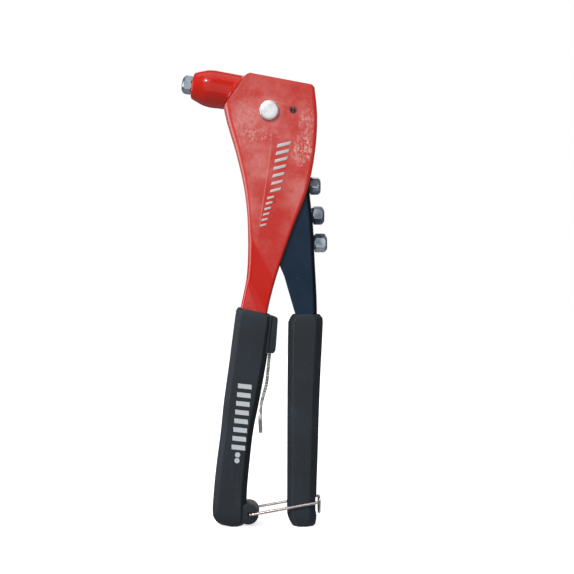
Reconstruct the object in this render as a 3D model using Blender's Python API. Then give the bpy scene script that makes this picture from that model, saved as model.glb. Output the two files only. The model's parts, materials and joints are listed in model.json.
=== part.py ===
"""Hand riveter with a latched lever, built as an assembly of separate solids.

Units are millimetres in the constants and metres in the scene. +Z is up and the tool stands on the ends of
its two grips. The nose points towards -X and the tool is symmetric about the plane Y = 0, apart from the two
ends of its pivot pin.
"""

import math

import bmesh
import bpy
from mathutils import Vector

MM = 0.001
GAP = 0.3

# the pulling axis: centre of the barrel's front face, tilted nose up, and the directions along and across it
AXIS_FRONT_X = -35.9
AXIS_FRONT_Z = 255.1
AXIS_TILT = math.radians(9.5)
ALONG = Vector((math.cos(AXIS_TILT), 0.0, -math.sin(AXIS_TILT)))
ACROSS = Vector((math.sin(AXIS_TILT), 0.0, math.cos(AXIS_TILT)))
SIDE = Vector((0.0, 1.0, 0.0))

# the lever's pivot, the stop pin behind it and the cross pin that the lever pulls
PIVOT_X = 8.8
PIVOT_Z = 238.9
PIVOT_RADIUS = 4.0
PIVOT_HEAD_RADIUS = 5.6
PIVOT_END_Y = 15.0
STOP_X = 22.5
STOP_Z = 239.2
STOP_RADIUS = 2.0
TRUNNION_S = 51.7
TRUNNION_RADIUS = 2.0
TRUNNION_HALF = 10.0

# the folded body: height, front edge, rear edge and corner radius, smoothly joined
BODY_STATIONS = (
    (50.0, -16.2, -4.2, 2.6),
    (95.8, -11.2, 4.4, 2.8),
    (122.0, -8.5, 7.3, 2.9),
    (145.0, -4.2, 13.0, 2.9),
    (172.0, -3.5, 22.4, 3.2),
    (193.0, -5.4, 30.5, 3.6),
    (214.0, -10.1, 34.9, 4.4),
    (235.0, -16.2, 36.3, 5.2),
    (254.0, -19.5, 34.6, 5.4),
    (266.0, -20.0, 33.0, 5.4),
)
BODY_WALL = 2.2
BODY_HEAD_HALF = 13.0
BODY_TANG_HALF = 8.5
BODY_STEP_LOW = 138.0
BODY_STEP_HIGH = 165.5
BODY_STEP_SLOPE = 1.85
HEAD_TOP_FRONT = (-3.6, 260.8)
HEAD_TOP_REAR = (33.3, 253.9)
HEAD_NOTCH = (-14.5, 245.3)

# the barrel's outside, front to back, and its two bores
BARREL_PROFILE = (
    (0.0, 7.0),
    (0.5, 7.5),
    (4.0, 9.05),
    (7.5, 10.3),
    (11.5, 10.95),
    (15.5, 10.85),
)
BARREL_NECK = 10.4
BARREL_COLLAR = 12.1
BARREL_TAIL = 10.0
BARREL_END = 33.5
BARREL_THREAD_RADIUS = 5.2
BARREL_THREAD_DEPTH = 9.0
BARREL_BORE = 7.15

# nosepieces
NOSE_HEX_FLATS = 9.5
NOSE_SHANK = 4.8
NOSE_TAIL = 2.85
NOSE_SEAT = 0.3
NOSE_FRONT_HEIGHT = 5.7
SPARE_STATIONS = (
    (196.8, 38.6, 1.25),
    (179.6, 40.7, 2.05),
    (163.6, 42.35, 2.45),
)

# the jaws and what carries them, measured along the pulling axis with the lever closed
CASE_RADIUS = 6.8
CASE_FRONT = 22.4
CASE_REAR = 42.5
CASE_MOUTH = 3.3
CASE_CONE_START = 23.2
CASE_BORE = 5.65
CONE_SLOPE = math.tan(math.radians(14.0))
JAW_FRONT = 24.4
JAW_REAR = 30.5
JAW_GRIP_RADIUS = 1.1
DRAWBAR_FRONT = 39.5
DRAWBAR_RADIUS = 3.9
DRAWBAR_BORE = 2.7
DRAWBAR_REAR = 57.0

# the lever: a folded channel, open to the front, with two ears above
LEVER_STATIONS = (
    (50.0, 32.8, 2.6),
    (100.0, 35.2, 2.8),
    (123.6, 36.3, 3.0),
    (154.9, 34.9, 3.0),
    (172.3, 34.1, 3.0),
    (189.7, 32.3, 3.0),
    (204.6, 31.1, 3.0),
    (262.0, 30.0, 3.0),
)
LEVER_WALL = 2.0
LEVER_HALF = 10.2
LEVER_TANG_HALF = 8.5
LEVER_HUB = 10.5
LEVER_EAR_ANGLE = 50.5
LEVER_EAR_HALF = 4.8
LEVER_STOP_ANGLE = -70.5
LEVER_WEB_TOP = 204.6
LEVER_FRONT_EDGE = (
    (0.5, 215.0),
    (5.5, 190.0),
    (11.2, 165.0),
    (14.8, 150.3),
    (17.3, 144.5),
    (21.3, 130.6),
    (23.7, 122.5),
    (24.2, 110.0),
    (24.6, 50.0),
)

# grips: height, left edge, right edge, half thickness and tilt of the section
GRIP_HALF = 10.5
FIXED_GRIP_STATIONS = (
    (0.0, -16.4, -7.4, 7.6, 0.0),
    (1.0, -19.4, -6.0, 9.0, 0.0),
    (3.2, -22.0, -5.2, 10.0, 0.0),
    (7.0, -23.8, -4.8, GRIP_HALF, 0.0),
    (19.2, -23.3, -4.4, GRIP_HALF, 0.0),
    (36.6, -21.6, -2.8, GRIP_HALF, 0.0),
    (54.0, -19.3, -0.7, GRIP_HALF, 0.0),
    (71.4, -17.5, 2.8, GRIP_HALF, 0.0),
    (95.8, -14.1, 7.1, GRIP_HALF, 0.06),
    (118.5, -11.0, 10.3, GRIP_HALF, 0.16),
    (122.7, -10.3, 10.5, 10.2, 0.19),
    (124.3, -9.2, 8.6, 9.6, 0.22),
)
MOVING_GRIP_STATIONS = (
    (0.0, 22.8, 34.2, 8.0, 0.0),
    (1.5, 21.6, 35.3, 9.3, 0.0),
    (4.9, 19.9, 35.9, 10.3, 0.0),
    (8.0, 19.1, 36.0, GRIP_HALF, 0.0),
    (19.2, 19.05, 36.0, GRIP_HALF, 0.0),
    (43.6, 19.1, 36.8, GRIP_HALF, 0.0),
    (71.4, 19.2, 37.6, GRIP_HALF, 0.0),
    (102.7, 19.45, 39.0, GRIP_HALF, 0.0),
    (117.5, 19.7, 39.7, GRIP_HALF, 0.0),
    (120.3, 20.9, 39.5, 10.2, 0.0),
    (122.3, 22.4, 37.8, 9.7, 0.0),
)

# the spanner: height, centre line and half width
SPANNER_STATIONS = (
    (53.3, 3.75, 1.6),
    (54.2, 3.7, 4.0),
    (56.2, 3.6, 6.5),
    (59.0, 3.5, 8.2),
    (62.0, 3.4, 8.8),
    (65.0, 3.45, 8.2),
    (68.4, 3.75, 6.2),
    (71.0, 4.25, 5.4),
    (74.1, 5.0, 5.4),
)
SPANNER_STRAP = (
    (74.1, 5.0),
    (81.4, 7.0),
    (89.1, 7.9),
    (99.6, 8.9),
    (118.5, 10.4),
)
SPANNER_HALF_THICK = 0.95
SPANNER_STRAP_HALF = 5.6
SPANNER_TEETH = 14
SPANNER_EYE_Z = 62.0
SPANNER_EYE_FLATS = 9.9
POCKET_HALF = 8.5
POCKET_TOP = 119.2
POCKET_MOUTH = 99.8

# the wire bail
BAIL_X = -2.6
BAIL_Z = 7.4
BAIL_WIRE = 0.8
BAIL_HALF = 11.6
BAIL_REAR_X = 37.6
BAIL_REAR_Z = 14.8
BAIL_TONGUE_HALF = 5.0
BAIL_TONGUE_Z = 7.7
LUG_X = -3.3
LUG_Z = 7.3
LUG_RADIUS = 6.0
LUG_HALF = 9.0


def clear_scene():
    """Removes every object of the scene."""
    for obj in list(bpy.data.objects):
        bpy.data.objects.remove(obj, do_unlink=True)


def paint(name, colour, metallic, roughness):
    """Returns a Principled material."""
    material = bpy.data.materials.new(name)
    material.use_nodes = True
    shader = material.node_tree.nodes["Principled BSDF"]
    shader.inputs["Base Color"].default_value = (*colour, 1.0)
    shader.inputs["Metallic"].default_value = metallic
    shader.inputs["Roughness"].default_value = roughness
    return material


def build(name, points, faces, material=None, round_angle=None):
    """Makes a mesh object from points in millimetres, with its faces turned outward."""
    mesh = bpy.data.meshes.new(name)
    work = bmesh.new()
    made = [work.verts.new(Vector(p) * MM) for p in points]
    for face in faces:
        work.faces.new([made[i] for i in face])
    bmesh.ops.recalc_face_normals(work, faces=work.faces)
    work.to_mesh(mesh)
    work.free()
    obj = bpy.data.objects.new(name, mesh)
    bpy.context.scene.collection.objects.link(obj)
    if material is not None:
        mesh.materials.append(material)
    if round_angle is not None:
        mesh.shade_smooth()
        mesh.set_sharp_from_angle(angle=math.radians(round_angle))
    return obj


def rings_to_faces(rings, count, closed_loop):
    """Joins rings of the same number of points with quads, the last to the first if closed_loop."""
    faces = []
    last = rings if closed_loop else rings - 1
    for ring in range(last):
        here = ring * count
        there = ((ring + 1) % rings) * count
        for k in range(count):
            nxt = (k + 1) % count
            faces.append((here + k, here + nxt, there + nxt, there + k))
    return faces


def prism(name, outline, low_y, high_y, material=None):
    """A solid between two heights along Y, with an outline of (x, z) points."""
    count = len(outline)
    points = [(x, low_y, z) for x, z in outline]
    points += [(x, high_y, z) for x, z in outline]
    faces = rings_to_faces(2, count, False)
    faces.append(tuple(range(count)))
    faces.append(tuple(range(count, 2 * count)))
    return build(name, points, faces, material)


def stack(name, rings, material=None, round_angle=None):
    """A solid through closed rings of points, with flat ends."""
    count = len(rings[0])
    points = [p for ring in rings for p in ring]
    faces = rings_to_faces(len(rings), count, False)
    faces.append(tuple(range(count)))
    faces.append(tuple(range(len(points) - count, len(points))))
    return build(name, points, faces, material, round_angle)


def turned_ring(origin, along, across, side, place, radius, count):
    """Points of one circle of a turned piece."""
    ring = []
    for k in range(count):
        angle = 2.0 * math.pi * k / count
        ring.append(origin + along * place + across * radius * math.cos(angle) + side * radius * math.sin(angle))
    return ring


def turned(name, origin, along, across, side, profile, count, material=None, round_angle=30.0):
    """A turned piece. A profile that starts and ends on the axis is solid, any other is a closed loop."""
    solid = profile[0][1] == 0.0
    body = profile[1:-1] if solid else profile
    points = []
    for place, radius in body:
        points += turned_ring(origin, along, across, side, place, radius, count)
    faces = rings_to_faces(len(body), count, not solid)
    if solid:
        first = len(points)
        points.append(origin + along * profile[0][0])
        points.append(origin + along * profile[-1][0])
        start = (len(body) - 1) * count
        for k in range(count):
            nxt = (k + 1) % count
            faces.append((first, nxt, k))
            faces.append((first + 1, start + k, start + nxt))
    return build(name, points, faces, material, round_angle)


def axis_origin():
    """Centre of the barrel's front face."""
    return Vector((AXIS_FRONT_X, 0.0, AXIS_FRONT_Z))


def axis_point(place, up=0.0):
    """A point on or above the pulling axis."""
    return axis_origin() + ALONG * place + ACROSS * up


def on_pulling_axis(name, profile, count, material=None):
    """A turned piece about the pulling axis."""
    return turned(name, axis_origin(), ALONG, ACROSS, SIDE, profile, count, material)


def cross_cylinder(name, x, z, radius, low_y, high_y, count, material=None, round_angle=None):
    """A cylinder along Y."""
    profile = ((low_y, 0.0), (low_y, radius), (high_y, radius), (high_y, 0.0))
    origin = Vector((x, 0.0, z))
    return turned(name, origin, SIDE, Vector((1, 0, 0)), Vector((0, 0, -1)), profile, count, material, round_angle)


def combine(obj, other, operation):
    """Applies an exact Boolean and removes the other object."""
    modifier = obj.modifiers.new(operation.title(), "BOOLEAN")
    modifier.operation = operation
    modifier.solver = "EXACT"
    modifier.object = other
    other.display_type = "WIRE"
    other.hide_render = True
    depsgraph = bpy.context.evaluated_depsgraph_get()
    result = bpy.data.meshes.new_from_object(obj.evaluated_get(depsgraph))
    obj.modifiers.clear()
    old = obj.data
    obj.data = result
    bpy.data.meshes.remove(old)
    bpy.data.objects.remove(other, do_unlink=True)
    tidy(obj.data)


def tidy(mesh):
    """Welds the points that a Boolean leaves on top of each other and drops faces with no area."""
    work = bmesh.new()
    work.from_mesh(mesh)
    bmesh.ops.remove_doubles(work, verts=work.verts, dist=0.00001)
    bmesh.ops.dissolve_degenerate(work, edges=work.edges, dist=0.000005)
    work.to_mesh(mesh)
    work.free()


def keep_one_material(obj, material, round_angle):
    """Gives the whole object one material and its smooth shading."""
    obj.data.materials.clear()
    obj.data.materials.append(material)
    for polygon in obj.data.polygons:
        polygon.material_index = 0
    if round_angle is not None:
        obj.data.shade_smooth()
        obj.data.set_sharp_from_angle(angle=math.radians(round_angle))


def set_origin(obj, x, y, z):
    """Moves the object's origin to a point of its joint axis and leaves its mesh where it is."""
    place = Vector((x, y, z)) * MM
    for vertex in obj.data.vertices:
        vertex.co -= place
    obj.location = place


def smooth_row(rows, height):
    """Values at a height, joined smoothly through the rows."""
    index = 0
    while index < len(rows) - 2 and height > rows[index + 1][0]:
        index += 1
    low = rows[index]
    high = rows[index + 1]
    span = high[0] - low[0]
    t = (height - low[0]) / span
    values = []
    for column in range(1, len(low)):
        slopes = []
        for k in (index, index + 1):
            before = rows[max(k - 1, 0)]
            after = rows[min(k + 1, len(rows) - 1)]
            slopes.append((after[column] - before[column]) / (after[0] - before[0]))
        h00 = 2 * t ** 3 - 3 * t ** 2 + 1
        h10 = t ** 3 - 2 * t ** 2 + t
        h01 = -2 * t ** 3 + 3 * t ** 2
        h11 = t ** 3 - t ** 2
        value = h00 * low[column] + h10 * span * slopes[0] + h01 * high[column] + h11 * span * slopes[1]
        values.append(value)
    return values


def straight_row(rows, height):
    """Values at a height, joined by straight lines."""
    index = 0
    while index < len(rows) - 2 and height > rows[index + 1][0]:
        index += 1
    low = rows[index]
    high = rows[index + 1]
    t = (height - low[0]) / (high[0] - low[0])
    return [a + (b - a) * t for a, b in zip(low[1:], high[1:])]


def ease(t):
    """A smooth step from 0 to 1."""
    t = min(max(t, 0.0), 1.0)
    return t * t * (3.0 - 2.0 * t)


def body_half(x, z):
    """Half width of the folded body: wide at the head and stepped in towards the grip."""
    t = (z + BODY_STEP_SLOPE * x - BODY_STEP_LOW) / (BODY_STEP_HIGH - BODY_STEP_LOW)
    return BODY_TANG_HALF + (BODY_HEAD_HALF - BODY_TANG_HALF) * ease(t)


def channel_ring(z, web_x, open_x, radius, wall, half):
    """One section of a folded channel: its outside from one free edge round to the other, then its inside.

    half gives the half width at (x, z). The web lies at web_x and the free edges at open_x.
    """
    way = 1.0 if open_x > web_x else -1.0
    outer = []
    inner = []
    edge = 1.1
    steps = 7
    corner = 5
    reach = abs(open_x - web_x)
    places = [reach, reach, reach - 0.35 * edge, reach - edge]
    lifts = [0.75 * wall, edge, 0.35 * edge, 0.0]
    for k in range(1, steps + 1):
        places.append(reach - edge + (radius - reach + edge) * k / steps)
        lifts.append(0.0)
    insets = [0.0, 0.3 * edge, 0.6 * edge] + [reach - place for place in places[3:]]
    for place, lift, inset in zip(places, lifts, insets):
        x = web_x + way * place
        outer.append((x, half(x, z) - lift))
        x = web_x + way * (reach - inset)
        inner.append((x, half(x, z) - wall))
    for k in range(1, corner + 1):
        angle = 0.5 * math.pi * k / corner
        run = 1.0 - math.sin(angle)
        rise = 1.0 - math.cos(angle)
        x = web_x + way * radius * run
        flat = half(web_x + way * radius, z)
        outer.append((x, flat - radius * rise))
        x = web_x + way * (wall + (radius - wall) * run)
        inner.append((x, flat - wall - (radius - wall) * rise))
    ring = [(x, -y, z) for x, y in outer]
    ring += [(x, y, z) for x, y in reversed(outer)]
    ring += [(x, y, z) for x, y in inner]
    ring += [(x, -y, z) for x, y in reversed(inner)]
    return ring


def channel(name, heights, ring_at):
    """A folded channel through its sections, with ends closed by quads across the wall."""
    rings = [ring_at(z) for z in heights]
    count = len(rings[0])
    points = [p for ring in rings for p in ring]
    faces = rings_to_faces(len(rings), count, False)
    quarter = count // 4
    for base in (0, len(points) - count):
        for k in range(2 * quarter - 1):
            a = base + k
            b = base + k + 1
            # the inside runs on from the far edge back to the near one
            c = base + count - 2 - k
            d = base + count - 1 - k
            faces.append((a, b, c, d))
    return build(name, points, faces)


def spread(low, high, steps):
    """Evenly spaced heights."""
    return [low + (high - low) * k / steps for k in range(steps + 1)]


def arc(x, z, radius, start, end, steps):
    """Points (x, z) along an arc, in degrees from +X towards +Z."""
    points = []
    for k in range(steps + 1):
        angle = math.radians(start + (end - start) * k / steps)
        points.append((x + radius * math.cos(angle), z + radius * math.sin(angle)))
    return points


def body_heights():
    """Heights of the body's sections, closer together where it steps in."""
    return spread(50.0, 120.0, 4)[:-1] + spread(120.0, 190.0, 14)[:-1] + spread(190.0, 266.0, 11)


def lever_heights():
    """Heights of the lever's sections."""
    return spread(50.0, 122.0, 3)[:-1] + spread(122.0, 156.0, 8)[:-1] + spread(156.0, 206.0, 5) + [262.0]


def make_body_frame(material):
    """The red body: one folded channel with the head's two cheeks and the tang inside the fixed grip."""

    def ring_at(z):
        front, rear, radius = smooth_row(BODY_STATIONS, z)
        return channel_ring(z, front, rear, radius, BODY_WALL, body_half)

    obj = channel("body_frame", body_heights(), ring_at)
    slope = (HEAD_TOP_REAR[1] - HEAD_TOP_FRONT[1]) / (HEAD_TOP_REAR[0] - HEAD_TOP_FRONT[0])
    soft = 1.2
    outline = [
        (-40.0, 40.0),
        (60.0, 40.0),
        (60.0, 222.8),
        HEAD_TOP_REAR,
        (HEAD_TOP_FRONT[0] + soft, HEAD_TOP_FRONT[1] + slope * soft),
        (HEAD_TOP_FRONT[0] - 0.5, HEAD_TOP_FRONT[1] - 0.7),
        HEAD_NOTCH,
        (-40.0, 212.0),
    ]
    combine(obj, prism("head_outline", outline, -20.0, 20.0), "INTERSECT")
    clearance = ((10.0, 0.0), (10.0, 10.7), (40.0, 10.7), (40.0, 0.0))
    combine(obj, on_pulling_axis("barrel_clearance", clearance, 40), "DIFFERENCE")
    pivot = cross_cylinder("pivot_hole", PIVOT_X, PIVOT_Z, PIVOT_RADIUS + 0.25, -20.0, 20.0, 32)
    combine(obj, pivot, "DIFFERENCE")
    stop = cross_cylinder("stop_hole", STOP_X, STOP_Z, STOP_RADIUS + 0.2, -20.0, 20.0, 24)
    combine(obj, stop, "DIFFERENCE")
    keep_one_material(obj, material, 35.0)
    return obj


def make_barrel(material):
    """The bullet-shaped barrel, with a slanted collar that meets the cheeks' front edges."""
    count = 36
    origin = axis_origin()
    low = Vector((HEAD_NOTCH[0], 0.0, HEAD_NOTCH[1]))
    edge = (Vector((HEAD_TOP_FRONT[0], 0.0, HEAD_TOP_FRONT[1])) - low).normalized()
    normal = Vector((edge.z, 0.0, -edge.x))

    def slanted(offset, radius_at):
        ring = []
        for k in range(count):
            angle = 2.0 * math.pi * k / count
            radius = radius_at(angle)
            out = ACROSS * radius * math.cos(angle) + SIDE * radius * math.sin(angle)
            place = (low - normal * offset - origin - out).dot(normal) / ALONG.dot(normal)
            ring.append(origin + ALONG * place + out)
        return ring

    def collar(angle):
        return BARREL_NECK + 0.1 + (BARREL_COLLAR - BARREL_NECK) * ease(0.5 + 1.5 * math.cos(angle) + 0.6)

    rings = []
    for place, radius in BARREL_PROFILE:
        rings.append(turned_ring(origin, ALONG, ACROSS, SIDE, place, radius, count))
    rings.append(slanted(2.9, lambda angle: BARREL_NECK + 0.12))
    rings.append(slanted(1.2, lambda angle: 0.5 * (collar(angle) + BARREL_NECK)))
    rings.append(slanted(0.35, collar))
    rings.append(slanted(0.3, lambda angle: BARREL_TAIL))
    for place, radius in (
        (BARREL_END, BARREL_TAIL),
        (BARREL_END, BARREL_BORE),
        (BARREL_THREAD_DEPTH, BARREL_BORE),
        (BARREL_THREAD_DEPTH, BARREL_THREAD_RADIUS),
        (0.0, BARREL_THREAD_RADIUS),
    ):
        rings.append(turned_ring(origin, ALONG, ACROSS, SIDE, place, radius, count))
    points = [p for ring in rings for p in ring]
    return build("barrel", points, rings_to_faces(len(rings), count, True), material, 32.0)


def make_nosepiece(name, seat, out, up, side, height, hole, turn, material):
    """A nosepiece: hexagon with a domed end, threaded shank shown plain, and a tail that opens the jaws."""
    count = 24
    half_flats = 0.5 * NOSE_HEX_FLATS

    def hexagon(angle):
        local = (angle + math.radians(turn)) % math.radians(60.0)
        return half_flats / math.cos(local - math.radians(30.0))

    rows = (
        (-15.7, hole, False),
        (-15.7, NOSE_TAIL, False),
        (-8.9, NOSE_TAIL, False),
        (-8.2, NOSE_SHANK, False),
        (0.0, NOSE_SHANK, False),
        (0.0, 9.0, True),
        (height - 1.9, 9.0, True),
        (height - 1.0, 5.0, True),
        (height - 0.35, 4.3, False),
        (height, 3.4, False),
        (height, hole, False),
    )
    points = []
    for place, radius, is_hexagon in rows:
        for k in range(count):
            angle = 2.0 * math.pi * k / count
            reach = min(radius, hexagon(angle)) if is_hexagon else radius
            points.append(seat + out * place + up * reach * math.cos(angle) + side * reach * math.sin(angle))
    return build(name, points, rings_to_faces(len(rows), count, True), material, 25.0)


def make_front_nosepiece(material):
    """The nosepiece in the barrel."""
    seat = axis_point(-NOSE_SEAT)
    obj = make_nosepiece("front_nosepiece", seat, -ALONG, ACROSS, SIDE, NOSE_FRONT_HEIGHT, 1.7, 12.0, material)
    set_origin(obj, *axis_point(0.0))
    return obj


def spare_seat(z):
    """Where a spare's hexagon rests on the slightly curved web."""
    return smooth_row(LEVER_STATIONS, z - 0.58 * NOSE_HEX_FLATS)[0] + GAP


def make_spare_nosepieces(material):
    """The three spare nosepieces in the lever's web, each its own piece."""
    made = []
    for number, (z, tip_x, hole) in enumerate(SPARE_STATIONS, start=1):
        seat_x = spare_seat(z)
        seat = Vector((seat_x, 0.0, z))
        name = "spare_nosepiece_" + str(number)
        turn = 30.0 + 11.0 * number
        up = Vector((0, 0, 1))
        obj = make_nosepiece(name, seat, Vector((1, 0, 0)), up, SIDE, tip_x - seat_x, hole, turn, material)
        set_origin(obj, seat_x, 0.0, z)
        made.append(obj)
    return made


def make_jaw_case(material):
    """The sleeve whose inner cone closes the jaws."""
    cone_end = CASE_CONE_START + (CASE_BORE - CASE_MOUTH) / CONE_SLOPE
    profile = (
        (CASE_FRONT, CASE_MOUTH),
        (CASE_FRONT, CASE_RADIUS - 1.1),
        (CASE_FRONT + 1.1, CASE_RADIUS),
        (CASE_REAR, CASE_RADIUS),
        (CASE_REAR, CASE_BORE),
        (cone_end, CASE_BORE),
        (CASE_CONE_START, CASE_MOUTH),
    )
    obj = on_pulling_axis("jaw_case", profile, 32, material)
    set_origin(obj, *axis_point(CASE_FRONT))
    return obj


def make_drawbar(material):
    """The solid rear end of the pulled train: it closes the jaw case and is pulled by the cross pin."""
    profile = (
        (48.0, 0.0),
        (48.0, DRAWBAR_BORE),
        (DRAWBAR_FRONT, DRAWBAR_BORE),
        (DRAWBAR_FRONT, CASE_BORE - GAP),
        (CASE_REAR, CASE_BORE - GAP),
        (CASE_REAR, DRAWBAR_RADIUS),
        (DRAWBAR_REAR - 0.8, DRAWBAR_RADIUS),
        (DRAWBAR_REAR, DRAWBAR_RADIUS - 0.8),
        (DRAWBAR_REAR, 0.0),
    )
    obj = on_pulling_axis("drawbar", profile, 32)
    place = axis_point(TRUNNION_S)
    hole = cross_cylinder("trunnion_hole", place.x, place.z, TRUNNION_RADIUS + 0.15, -12.0, 12.0, 24)
    combine(obj, hole, "DIFFERENCE")
    keep_one_material(obj, material, 30.0)
    set_origin(obj, *place)
    return obj


def make_trunnion_pin(material):
    """The cross pin that the lever's two slots pull."""
    place = axis_point(TRUNNION_S)
    bevel = 0.4
    profile = (
        (-TRUNNION_HALF, 0.0),
        (-TRUNNION_HALF, TRUNNION_RADIUS - bevel),
        (-TRUNNION_HALF + bevel, TRUNNION_RADIUS),
        (TRUNNION_HALF - bevel, TRUNNION_RADIUS),
        (TRUNNION_HALF, TRUNNION_RADIUS - bevel),
        (TRUNNION_HALF, 0.0),
    )
    obj = turned("trunnion_pin", place, SIDE, Vector((1, 0, 0)), Vector((0, 0, -1)), profile, 24, material)
    set_origin(obj, *place)
    return obj


def make_jaw(name, sense, material):
    """One of the two jaws: half a cone with a groove for the rivet's pin."""
    steps = 10
    split = 0.18

    def section(place):
        cone = CASE_MOUTH + (place - CASE_CONE_START) * CONE_SLOPE
        radius = cone - GAP / math.cos(math.atan(CONE_SLOPE))
        ring = []
        limit = math.acos(split / radius)
        for k in range(steps + 1):
            angle = -limit + 2.0 * limit * k / steps
            ring.append((radius * math.cos(angle), radius * math.sin(angle)))
        limit = math.acos(split / JAW_GRIP_RADIUS)
        for k in range(steps + 1):
            angle = limit - 2.0 * limit * k / steps
            ring.append((JAW_GRIP_RADIUS * math.cos(angle), JAW_GRIP_RADIUS * math.sin(angle)))
        origin = axis_origin() + ALONG * place
        return [origin + ACROSS * sense * up + SIDE * over for up, over in ring]

    obj = stack(name, [section(JAW_FRONT), section(JAW_REAR)], material, 30.0)
    set_origin(obj, *axis_point(JAW_FRONT))
    return obj


def make_jaw_pusher(material):
    """The hollow pusher that the spring holds against the jaws."""
    profile = (
        (JAW_REAR + 0.4, 1.5),
        (JAW_REAR + 0.4, 4.3),
        (JAW_REAR + 0.9, 4.8),
        (JAW_REAR + 2.4, 4.8),
        (JAW_REAR + 2.4, 2.3),
        (43.5, 2.3),
        (43.5, 1.5),
    )
    obj = on_pulling_axis("jaw_pusher", profile, 24, material)
    set_origin(obj, *axis_point(JAW_REAR + 0.4))
    return obj


def tube(name, path, radius, sides, material, closed_ends=True):
    """A round wire along a path of points, with flat ends."""
    rings = []
    up = None
    for index, point in enumerate(path):
        before = path[max(index - 1, 0)]
        after = path[min(index + 1, len(path) - 1)]
        way = (after - before).normalized()
        if up is None:
            up = way.orthogonal().normalized()
        up = (up - way * up.dot(way)).normalized()
        side = way.cross(up)
        ring = []
        for k in range(sides):
            angle = 2.0 * math.pi * k / sides
            ring.append(point + up * radius * math.cos(angle) + side * radius * math.sin(angle))
        rings.append(ring)
    return stack(name, rings, material, 40.0)


def make_jaw_spring(material):
    """The coil spring between the pusher and the drawbar."""
    start = JAW_REAR + 2.4 + GAP + 0.45
    end = DRAWBAR_FRONT - GAP - 0.45
    turns = 3
    steps = 14
    path = []
    for k in range(turns * steps + 1):
        angle = 2.0 * math.pi * k / steps
        place = start + (end - start) * k / (turns * steps)
        path.append(axis_point(place) + ACROSS * 3.9 * math.cos(angle) + SIDE * 3.9 * math.sin(angle))
    obj = tube("jaw_spring", path, 0.45, 7, material)
    set_origin(obj, *axis_point(end))
    return obj


def lever_half(x, z):
    """Half width of the lever's channel, stepped in where it enters the grip."""
    return LEVER_TANG_HALF + (LEVER_HALF - LEVER_TANG_HALF) * ease((z - 126.0) / 26.0)


def make_moving_handle(material):
    """The lever: a folded channel with two ears on the pivot, slots for the cross pin and holes for the spares."""

    def ring_at(z):
        rear, radius = smooth_row(LEVER_STATIONS, z)
        return channel_ring(z, rear, -8.0, radius, LEVER_WALL, lever_half)

    obj = channel("moving_handle", lever_heights(), ring_at)
    outline = [(24.6, 40.0), (60.0, 40.0), (60.0, LEVER_WEB_TOP), (31.0, LEVER_WEB_TOP), (25.5, 210.5)]
    outline += arc(PIVOT_X, PIVOT_Z, 16.5, LEVER_STOP_ANGLE, LEVER_STOP_ANGLE, 1)[:1]
    spread_angle = math.degrees(math.asin(LEVER_EAR_HALF / LEVER_HUB))
    outline += arc(PIVOT_X, PIVOT_Z, LEVER_HUB, LEVER_STOP_ANGLE, LEVER_EAR_ANGLE - spread_angle, 8)
    ear_x = PIVOT_X + 10.0 * math.cos(math.radians(LEVER_EAR_ANGLE))
    ear_z = PIVOT_Z + 10.0 * math.sin(math.radians(LEVER_EAR_ANGLE))
    outline += arc(ear_x, ear_z, LEVER_EAR_HALF, LEVER_EAR_ANGLE - 90.0, LEVER_EAR_ANGLE + 90.0, 10)
    outline += arc(PIVOT_X, PIVOT_Z, LEVER_HUB, LEVER_EAR_ANGLE + spread_angle, 195.0, 10)
    outline += list(LEVER_FRONT_EDGE[:-1])
    combine(obj, prism("lever_outline", outline, -20.0, 20.0), "INTERSECT")
    hole = cross_cylinder("lever_pivot_hole", PIVOT_X, PIVOT_Z, PIVOT_RADIUS + 0.25, -20.0, 20.0, 32)
    combine(obj, hole, "DIFFERENCE")
    direction = math.radians(LEVER_EAR_ANGLE)
    slot = []
    for reach, start in ((10.4, -90.0), (8.2, 90.0)):
        x = PIVOT_X + reach * math.cos(direction)
        z = PIVOT_Z + reach * math.sin(direction)
        slot += arc(x, z, 2.6, LEVER_EAR_ANGLE + start, LEVER_EAR_ANGLE + start + 180.0, 8)
    combine(obj, prism("trunnion_slot", slot, -20.0, 20.0), "DIFFERENCE")
    for z, tip_x, bore in SPARE_STATIONS:
        profile = ((-6.0, 0.0), (-6.0, NOSE_SHANK + GAP), (4.0, NOSE_SHANK + GAP), (4.0, 0.0))
        origin = Vector((spare_seat(z), 0.0, z))
        cutter = turned("spare_hole", origin, Vector((1, 0, 0)), Vector((0, 0, 1)), SIDE, profile, 24)
        combine(obj, cutter, "DIFFERENCE")
    keep_one_material(obj, material, 35.0)
    set_origin(obj, PIVOT_X, 0.0, PIVOT_Z)
    return obj


def make_pivot_pin(material):
    """The lever's pivot pin: a low domed head, a plain shank and a groove for the ring at its far end."""
    groove = 13.3
    profile = (
        (-PIVOT_END_Y, 0.0),
        (-PIVOT_END_Y, PIVOT_HEAD_RADIUS - 1.2),
        (-PIVOT_END_Y + 0.4, PIVOT_HEAD_RADIUS - 0.3),
        (-PIVOT_END_Y + 0.9, PIVOT_HEAD_RADIUS),
        (-BODY_HEAD_HALF - GAP, PIVOT_HEAD_RADIUS),
        (-BODY_HEAD_HALF - GAP, PIVOT_RADIUS),
        (groove, PIVOT_RADIUS),
        (groove, PIVOT_RADIUS - 0.7),
        (groove + 1.0, PIVOT_RADIUS - 0.7),
        (groove + 1.0, PIVOT_RADIUS),
        (PIVOT_END_Y - 0.3, PIVOT_RADIUS),
        (PIVOT_END_Y, PIVOT_RADIUS - 0.3),
        (PIVOT_END_Y, 0.0),
    )
    origin = Vector((PIVOT_X, 0.0, PIVOT_Z))
    obj = turned("pivot_pin", origin, SIDE, Vector((1, 0, 0)), Vector((0, 0, -1)), profile, 32, material)
    set_origin(obj, PIVOT_X, 0.0, PIVOT_Z)
    return obj


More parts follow.
